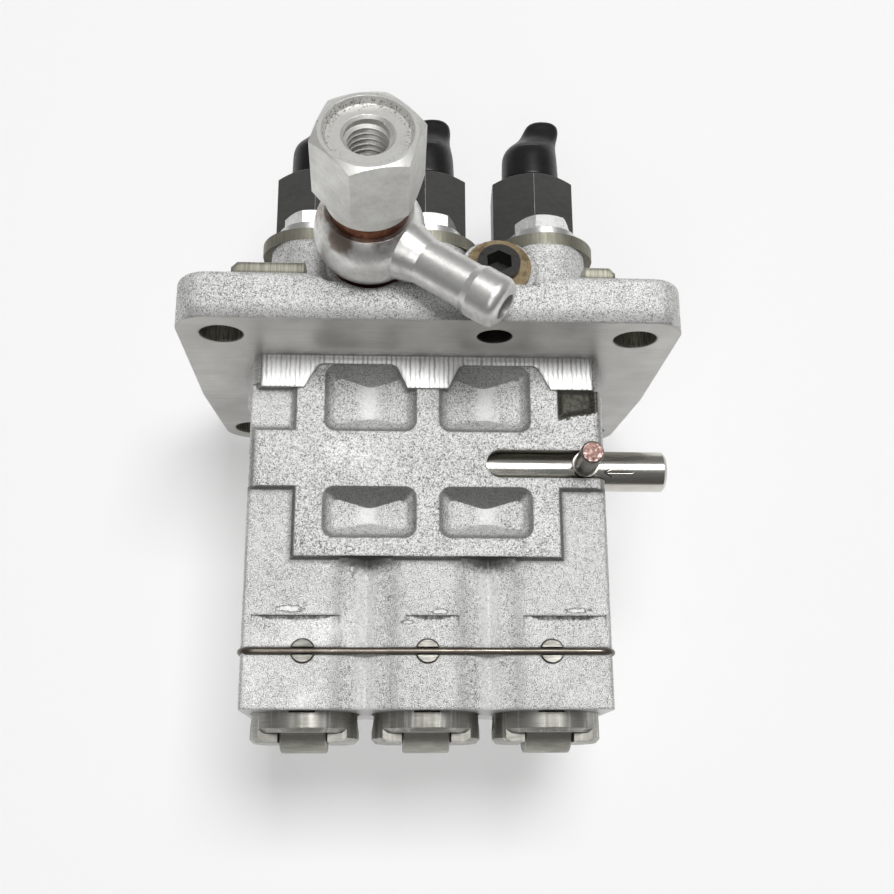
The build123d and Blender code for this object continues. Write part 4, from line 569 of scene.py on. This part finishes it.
MATERIALS = {
    "housing": cast_aluminium(),
    "plate": steel("phosphated_plate", (0.18, 0.175, 0.138), (0.30, 0.29, 0.235), (0.42, 0.58),
                   (3.2, 3.2, 0.15), 0.06, 0.7, edge_tone=(0.62, 0.61, 0.55)),
    "oxide": steel("black_oxide_steel", (0.078, 0.078, 0.076), (0.112, 0.111, 0.106), (0.34, 0.46),
                   (0.5, 0.5, 1.6), 0.010, 0.5, edge=0.2, edge_tone=(0.72, 0.72, 0.70)),
    "zinc": steel("zinc_plated_steel", (0.60, 0.60, 0.59), (0.86, 0.86, 0.85), (0.26, 0.40),
                  (1.2, 1.2, 1.2), 0.012, 0.9, stain=(0.46, 0.44, 0.40), stain_share=0.15),
    "nickel": steel("bright_zinc_fitting", (0.66, 0.655, 0.625), (0.84, 0.835, 0.805), (0.38, 0.52),
                    (1.0, 1.0, 1.0), 0.02, 0.75, stain=(0.36, 0.34, 0.29), stain_share=0.2,
                    edge_tone=(0.90, 0.90, 0.88), extra=bore_dirt),
    "banjo": steel("bright_zinc_banjo", (0.62, 0.615, 0.59), (0.88, 0.875, 0.855), (0.30, 0.42),
                   (1.0, 1.0, 1.0), 0.03, 0.88, stain=(0.36, 0.34, 0.29), stain_share=0.25,
                   edge_tone=(0.90, 0.90, 0.88), extra=turned_steps),
    "ground": steel("ground_steel", (0.25, 0.245, 0.215), (0.38, 0.375, 0.335), (0.36, 0.50),
                    (0.3, 0.3, 4.0), 0.008, 0.95, edge_tone=(0.58, 0.57, 0.53)),
    "tappet": steel("tappet_steel", (0.28, 0.275, 0.25), (0.46, 0.455, 0.42), (0.36, 0.50),
                    (0.3, 0.3, 4.0), 0.008, 0.95, edge_tone=(0.58, 0.57, 0.53), extra=tappet_front),
    "pin": steel("guide_pin_steel", (0.10, 0.098, 0.085), (0.26, 0.255, 0.23), (0.36, 0.5),
                 (0.4, 1.0, 5.0), 0.02, 0.9, edge_tone=(0.06, 0.056, 0.050)),
    "polished": steel("polished_rack", (0.50, 0.485, 0.44), (0.66, 0.645, 0.60), (0.14, 0.24),
                      (0.08, 3.0, 3.0), 0.006, 1.0, extra=scribed_arrow),
    "rusty": steel("stained_pin", (0.20, 0.19, 0.17), (0.40, 0.385, 0.35), (0.24, 0.4),
                   (1.5, 1.5, 1.5), 0.02, 0.9, edge_tone=(0.75, 0.73, 0.70), extra=pin_end),
    "wire": steel("oiled_spring_wire", (0.10, 0.085, 0.07), (0.22, 0.195, 0.165), (0.22, 0.36),
                  (0.2, 1.0, 1.0), 0.01, 0.9),
    "copper": steel("copper", (0.10, 0.036, 0.022), (0.27, 0.115, 0.07), (0.3, 0.46),
                    (1.0, 1.0, 1.0), 0.02, 1.0, edge_tone=(0.62, 0.36, 0.25)),
    "yellow": steel("yellow_zinc", (0.20, 0.145, 0.08), (0.48, 0.385, 0.235), (0.38, 0.55),
                    (2.0, 2.0, 2.0), 0.10, 0.8, stain=(0.12, 0.085, 0.05), stain_share=0.7,
                    edge_tone=(0.58, 0.50, 0.35)),
    "plug": steel("oxide_plug", (0.045, 0.044, 0.042), (0.10, 0.098, 0.095), (0.3, 0.45),
                  (1.0, 1.0, 1.0), 0.02, 0.7, edge_tone=(0.30, 0.30, 0.29)),
    "spring": steel("spring_steel", (0.22, 0.22, 0.21), (0.36, 0.36, 0.35), (0.3, 0.42),
                    (1.0, 1.0, 1.0), 0.01, 1.0),
    "vinyl": plain_polymer("black_vinyl", (0.007, 0.007, 0.007), (0.013, 0.013, 0.013),
                           (0.42, 0.30), 0.02, 0.9, 0.32),
    "rubber": plain_polymer("seal_rubber", (0.012, 0.012, 0.012), (0.022, 0.022, 0.021),
                            (0.7, 0.55), 0.03, 1.8),
}

DRESSING = {
    "pump_housing": "housing", "barrel_": "plate", "barrel_o_rings": "rubber",
    "delivery_holder_": "oxide", "dust_cap_": "vinyl", "clamp_washers": "zinc",
    "clamp_bolts": "zinc", "inlet_banjo": "banjo", "inlet_union_bolt": "nickel",
    "lower_copper_washers": "copper", "upper_copper_washers": "copper", "bleed_plug": "plug",
    "bleed_plug_washer": "yellow", "control_rack": "polished", "rack_pin": "rusty",
    "retaining_wire": "wire", "tappet_guide_pins": "pin", "tappet_": "tappet",
}
SLOT_DRESSING = {
    "cast_aluminium": "housing", "phosphated_steel": "plate", "ground_steel": "ground",
    "black_oxide_steel": "oxide", "spring_steel": "spring", "zinc_plated_steel": "zinc",
    "yellow_zinc": "yellow", "copper": "copper", "black_vinyl": "vinyl", "seal_rubber": "rubber",
}


def dress_nodes():
    """Gives every CAD node its material, by its own name or else by its record slot."""
    slots = {row["node"]: row["material_slot"] for row in frame["record"]["subparts"]}
    for name, node in frame["nodes"].items():
        family = name.rstrip("123")
        key = DRESSING.get(name) or DRESSING.get(family) or SLOT_DRESSING[slots[name]]
        for place in node.material_slots:
            place.material = MATERIALS[key]
        if not node.material_slots:
            node.data.materials.append(MATERIALS[key])


dress_nodes()


# ---- Pieces that the solids only hint at -------------------------------------------------------
def mesh_piece(name, points, faces, finish, body, smooth=True):
    """A mesh in millimetres that rides on a body."""
    mesh = bpy.data.meshes.new(name)
    mesh.from_pydata([Vector(p) * MM for p in points], [], faces)
    mesh.validate()
    mesh.polygons.foreach_set("use_smooth", [smooth] * len(mesh.polygons))
    mesh.materials.append(MATERIALS[finish])
    piece = bpy.data.objects.new(name, mesh)
    bpy.context.scene.collection.objects.link(piece)
    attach(piece, body)
    return piece


def skin_rings(rings, close_start=True, close_end=True):
    """Faces of a tube through rings of points that all have the same count."""
    count = len(rings[0])
    points = [p for ring in rings for p in ring]
    faces = []
    for row in range(len(rings) - 1):
        for i in range(count):
            j = (i + 1) % count
            low, high = row * count, (row + 1) * count
            faces.append((low + i, low + j, high + j, high + i))
    if close_start:
        faces.append(tuple(range(count))[::-1])
    if close_end:
        last = (len(rings) - 1) * count
        faces.append(tuple(last + i for i in range(count)))
    return points, faces


def cap_section(column, level, left, right, half_y, square):
    """Rounded outline of a dust cap at one level; square pinches it towards a slot."""
    middle, half = (left + right) / 2, (right - left) / 2
    ring = []
    for i in range(CAP_POINTS):
        turn = 2 * pi * i / CAP_POINTS
        across, back = cos(turn), sin(turn)
        across = abs(across) ** square * (1 if across > 0 else -1)
        back = abs(back) ** square * (1 if back > 0 else -1)
        ring.append((column + middle + half * across, half_y * back, level))
    return ring


def dust_cap(number, column, lean):
    """Vinyl cap whose shoulder slopes into a pinched, leaning fin."""
    rings = [cap_section(column, z, -CAP_BORE_R, CAP_BORE_R, CAP_BORE_R, 1.0)
             for z in (CAP_INNER_TOP, CAP_LOW + 0.25)]
    rings.append(cap_section(column, CAP_LOW, -CAP_BORE_R - 0.2, CAP_BORE_R + 0.2, CAP_BORE_R + 0.2, 1.0))
    for level, left, right, half_y, square in CAP_OUTLINE:
        shift = lean * min(1.0, max(0.0, (level - CAP_SHOULDER) / (CAP_TOP - CAP_SHOULDER)))
        rings.append(cap_section(column, level, left + shift, right + shift, half_y, square))
    points, faces = skin_rings(rings)
    piece = mesh_piece(f"cap_skin_{number}", points, faces, "vinyl", f"cap_body_{number}")
    soft = piece.modifiers.new("soft", "SUBSURF")
    soft.levels = soft.render_levels = 2
    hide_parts(f"dust_cap_{number}")


for index, lean in enumerate(CAP_LEANS):
    dust_cap(index + 1, (index - 1) * PITCH, lean)


def union_thread():
    """Thread ridges inside the union bolt, swept along a helix round the port's axis."""
    axis = Vector(INLET_AXIS)
    side = Vector((1.0, 0.0, 0.0))
    up = axis.cross(side)
    base = Vector(INLET_BASE_POINT)
    turns = (THREAD_TOP - THREAD_LOW) / THREAD_PITCH
    steps = round(turns * THREAD_SIDES)
    rings = []
    for i in range(steps + 1):
        turn = 2 * pi * i / THREAD_SIDES
        level = THREAD_LOW + THREAD_PITCH * i / THREAD_SIDES
        fade = min(1.0, i / 6, (steps - i) / 6)
        out = side * cos(turn) + up * sin(turn)
        ring = []
        for depth, drop in ((0.0, -0.46), (1.0, -0.09), (1.0, 0.09), (0.0, 0.46)):
            radius = THREAD_ROOT_R - depth * (0.02 + THREAD_DEPTH * fade)
            ring.append(base + out * radius + axis * (level + drop * THREAD_PITCH))
        rings.append(ring)
    points, faces = skin_rings(rings)
    mesh_piece("union_thread", points, faces, "nickel", "housing", False)


union_thread()


# ---- Springs wound between their seats, riding on their moving parts ----------------------------
SPRING_TURN_SIDES = 28
SPRING_WIRE_SIDES = 12
SPRINGS = (
    # kind, body, joint, diameter, wire, coils, lower end, upper end, travel
    ("plunger_spring", "tappet_body", "tappet_lift", 18.4, 2.2, 5, -56.5, -30.8, 7.0),
    ("delivery_spring", "valve_body", "delivery_valve_lift", 7.4, 1.0, 5, 19.4, 34.0, 2.0),
)


def coil_spring(kind, number, body, joint, diameter, wire, coils, low, high, travel):
    """Wound wire standing on the moving part, squeezed against the fixed seat above it."""
    middle = Vector(((number - 2) * PITCH, 0.0, 0.0))
    radius = (diameter - wire) / 2
    climb = high - low - wire
    steps = coils * SPRING_TURN_SIDES
    rings = []
    for i in range(steps + 1):
        turn = 2 * pi * i / SPRING_TURN_SIDES
        out = Vector((cos(turn), sin(turn), 0.0))
        along = Vector((-sin(turn) * radius, cos(turn) * radius, climb / (2 * pi * coils))).normalized()
        over = along.cross(out)
        centre = middle + out * radius + Vector((0.0, 0.0, low + wire / 2 + climb * i / steps))
        rings.append([centre + (out * cos(a) + over * sin(a)) * wire / 2
                      for a in (2 * pi * k / SPRING_WIRE_SIDES for k in range(SPRING_WIRE_SIDES))])
    points, faces = skin_rings(rings)
    piece = mesh_piece(f"{kind}_wire_{number}", points, faces, "spring", f"{body}_{number}")
    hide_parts(f"{kind}_{number}")
    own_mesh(piece)


for row in SPRINGS:
    for number in (1, 2, 3):
        coil_spring(row[0], number, *row[1:])


# ---- Stage, lights and camera ------------------------------------------------------------------
def stage_material():
    """Pale surface that shows the shadow, seen only from its own front."""
    g = Graph("pale_stage")
    path = g.make("LightPath").outputs
    seen = g.math("MAXIMUM", g.math("MAXIMUM", path["Is Camera Ray"], path["Is Glossy Ray"]),
                  path["Is Transmission Ray"])
    matt = g.make("BsdfDiffuse")
    g.put(matt.inputs["Color"], (STAGE_GREY, STAGE_GREY, STAGE_GREY))
    glow = g.make("Emission")
    g.put(glow.inputs["Color"], (STAGE_WHITE, STAGE_WHITE, STAGE_WHITE))
    lit = g.make_with("MixShader", g.math("MULTIPLY", seen, STAGE_GLOW),
                      matt.outputs[0], glow.outputs[0])
    clear = g.make("BsdfTransparent")
    behind = g.make("NewGeometry").outputs["Backfacing"]
    whole = g.make_with("MixShader", behind, lit.outputs[0], clear.outputs[0])
    out = g.make("OutputMaterial")
    g.put(out.inputs["Surface"], whole.outputs[0])
    return g.material


def sheet(name, corners):
    """Flat four-cornered stage piece; its front is where the corners run anticlockwise."""
    mesh = bpy.data.meshes.new(name)
    mesh.from_pydata([Vector(c) * MM for c in corners], [], [(0, 1, 2, 3)])
    piece = bpy.data.objects.new(name, mesh)
    bpy.context.scene.collection.objects.link(piece)
    return piece


def build_stage():
    low, high = cad_box[0] / MM, cad_box[1] / MM
    back, far, ground = high.y + WALL_GAP, STAGE_SIZE, low.z
    wall = sheet("backdrop", ((-far, back, -far), (far, back, -far),
                              (far, back, far), (-far, back, far)))
    floor = sheet("floor", ((-far, -far, ground), (far, -far, ground),
                            (far, far, ground), (-far, far, ground)))
    finish = stage_material()
    for piece in (wall, floor):
        piece.data.materials.append(finish)
        piece.visible_shadow = False
    floor.visible_diffuse = floor.visible_glossy = False


def area_light(name, place, aim, size, strength, tone=(1.0, 1.0, 1.0)):
    """Soft rectangular lamp at a place in millimetres, turned to a point."""
    lamp = bpy.data.lights.new(name, "AREA")
    lamp.shape = "RECTANGLE"
    lamp.size, lamp.size_y = size[0] * MM, size[1] * MM
    lamp.energy = strength
    lamp.color = tone
    holder = bpy.data.objects.new(name, lamp)
    holder.location = Vector(place) * MM
    holder.rotation_euler = (Vector(aim) - Vector(place)).to_track_quat("-Z", "Y").to_euler()
    holder.visible_camera = False
    bpy.context.scene.collection.objects.link(holder)


def build_world():
    """Studio surroundings, brighter above than below."""
    world = bpy.data.worlds.new("studio")
    world.use_nodes = True
    tree = world.node_tree
    tree.nodes.clear()
    coords = tree.nodes.new("ShaderNodeTexCoord")
    parts = tree.nodes.new("ShaderNodeSeparateXYZ")
    tree.links.new(coords.outputs["Generated"], parts.inputs[0])
    spread = tree.nodes.new("ShaderNodeMapRange")
    spread.inputs["From Min"].default_value = -1.0
    spread.inputs["From Max"].default_value = 1.0
    spread.inputs["To Min"].default_value = SKY_LOW
    spread.inputs["To Max"].default_value = SKY_HIGH
    tree.links.new(parts.outputs["Z"], spread.inputs["Value"])
    path = tree.nodes.new("ShaderNodeLightPath")
    white = tree.nodes.new("ShaderNodeMix")
    tree.links.new(path.outputs["Is Camera Ray"], white.inputs[0])
    tree.links.new(spread.outputs[0], white.inputs[2])
    white.inputs[3].default_value = 1.0
    glow = tree.nodes.new("ShaderNodeBackground")
    tree.links.new(white.outputs[0], glow.inputs["Strength"])
    out = tree.nodes.new("ShaderNodeOutputWorld")
    tree.links.new(glow.outputs[0], out.inputs["Surface"])
    bpy.context.scene.world = world


def build_camera():
    rise, yaw, roll = radians(CAMERA_RISE), radians(CAMERA_YAW), radians(CAMERA_ROLL)
    ahead = Vector((sin(yaw) * cos(rise), cos(yaw) * cos(rise), sin(rise)))
    level = Vector((cos(yaw), -sin(yaw), 0.0))
    upright = level.cross(ahead)
    right = level * cos(roll) + upright * sin(roll)
    up = upright * cos(roll) - level * sin(roll)
    camera = bpy.data.cameras.new("camera")
    camera.lens, camera.sensor_width = CAMERA_LENS, 36.0
    camera.clip_start, camera.clip_end = 0.01, 20.0
    holder = bpy.data.objects.new("camera", camera)
    turn = Matrix((right, up, -ahead)).transposed().to_4x4()
    holder.matrix_world = Matrix.Translation(Vector(CAMERA_PLACE) * MM) @ turn
    bpy.context.scene.collection.objects.link(holder)
    bpy.context.scene.camera = holder


build_camera()
build_stage()
build_world()
area_light("key", KEY_PLACE, (0, 0, -20), KEY_SIZE, KEY_STRENGTH)
area_light("fill", FILL_PLACE, (0, 0, -20), (300, 420), FILL_STRENGTH)
area_light("rear", REAR_PLACE, (0, 0, 0), (420, 320), REAR_STRENGTH)

scene = bpy.context.scene
scene.view_settings.view_transform = "Standard"
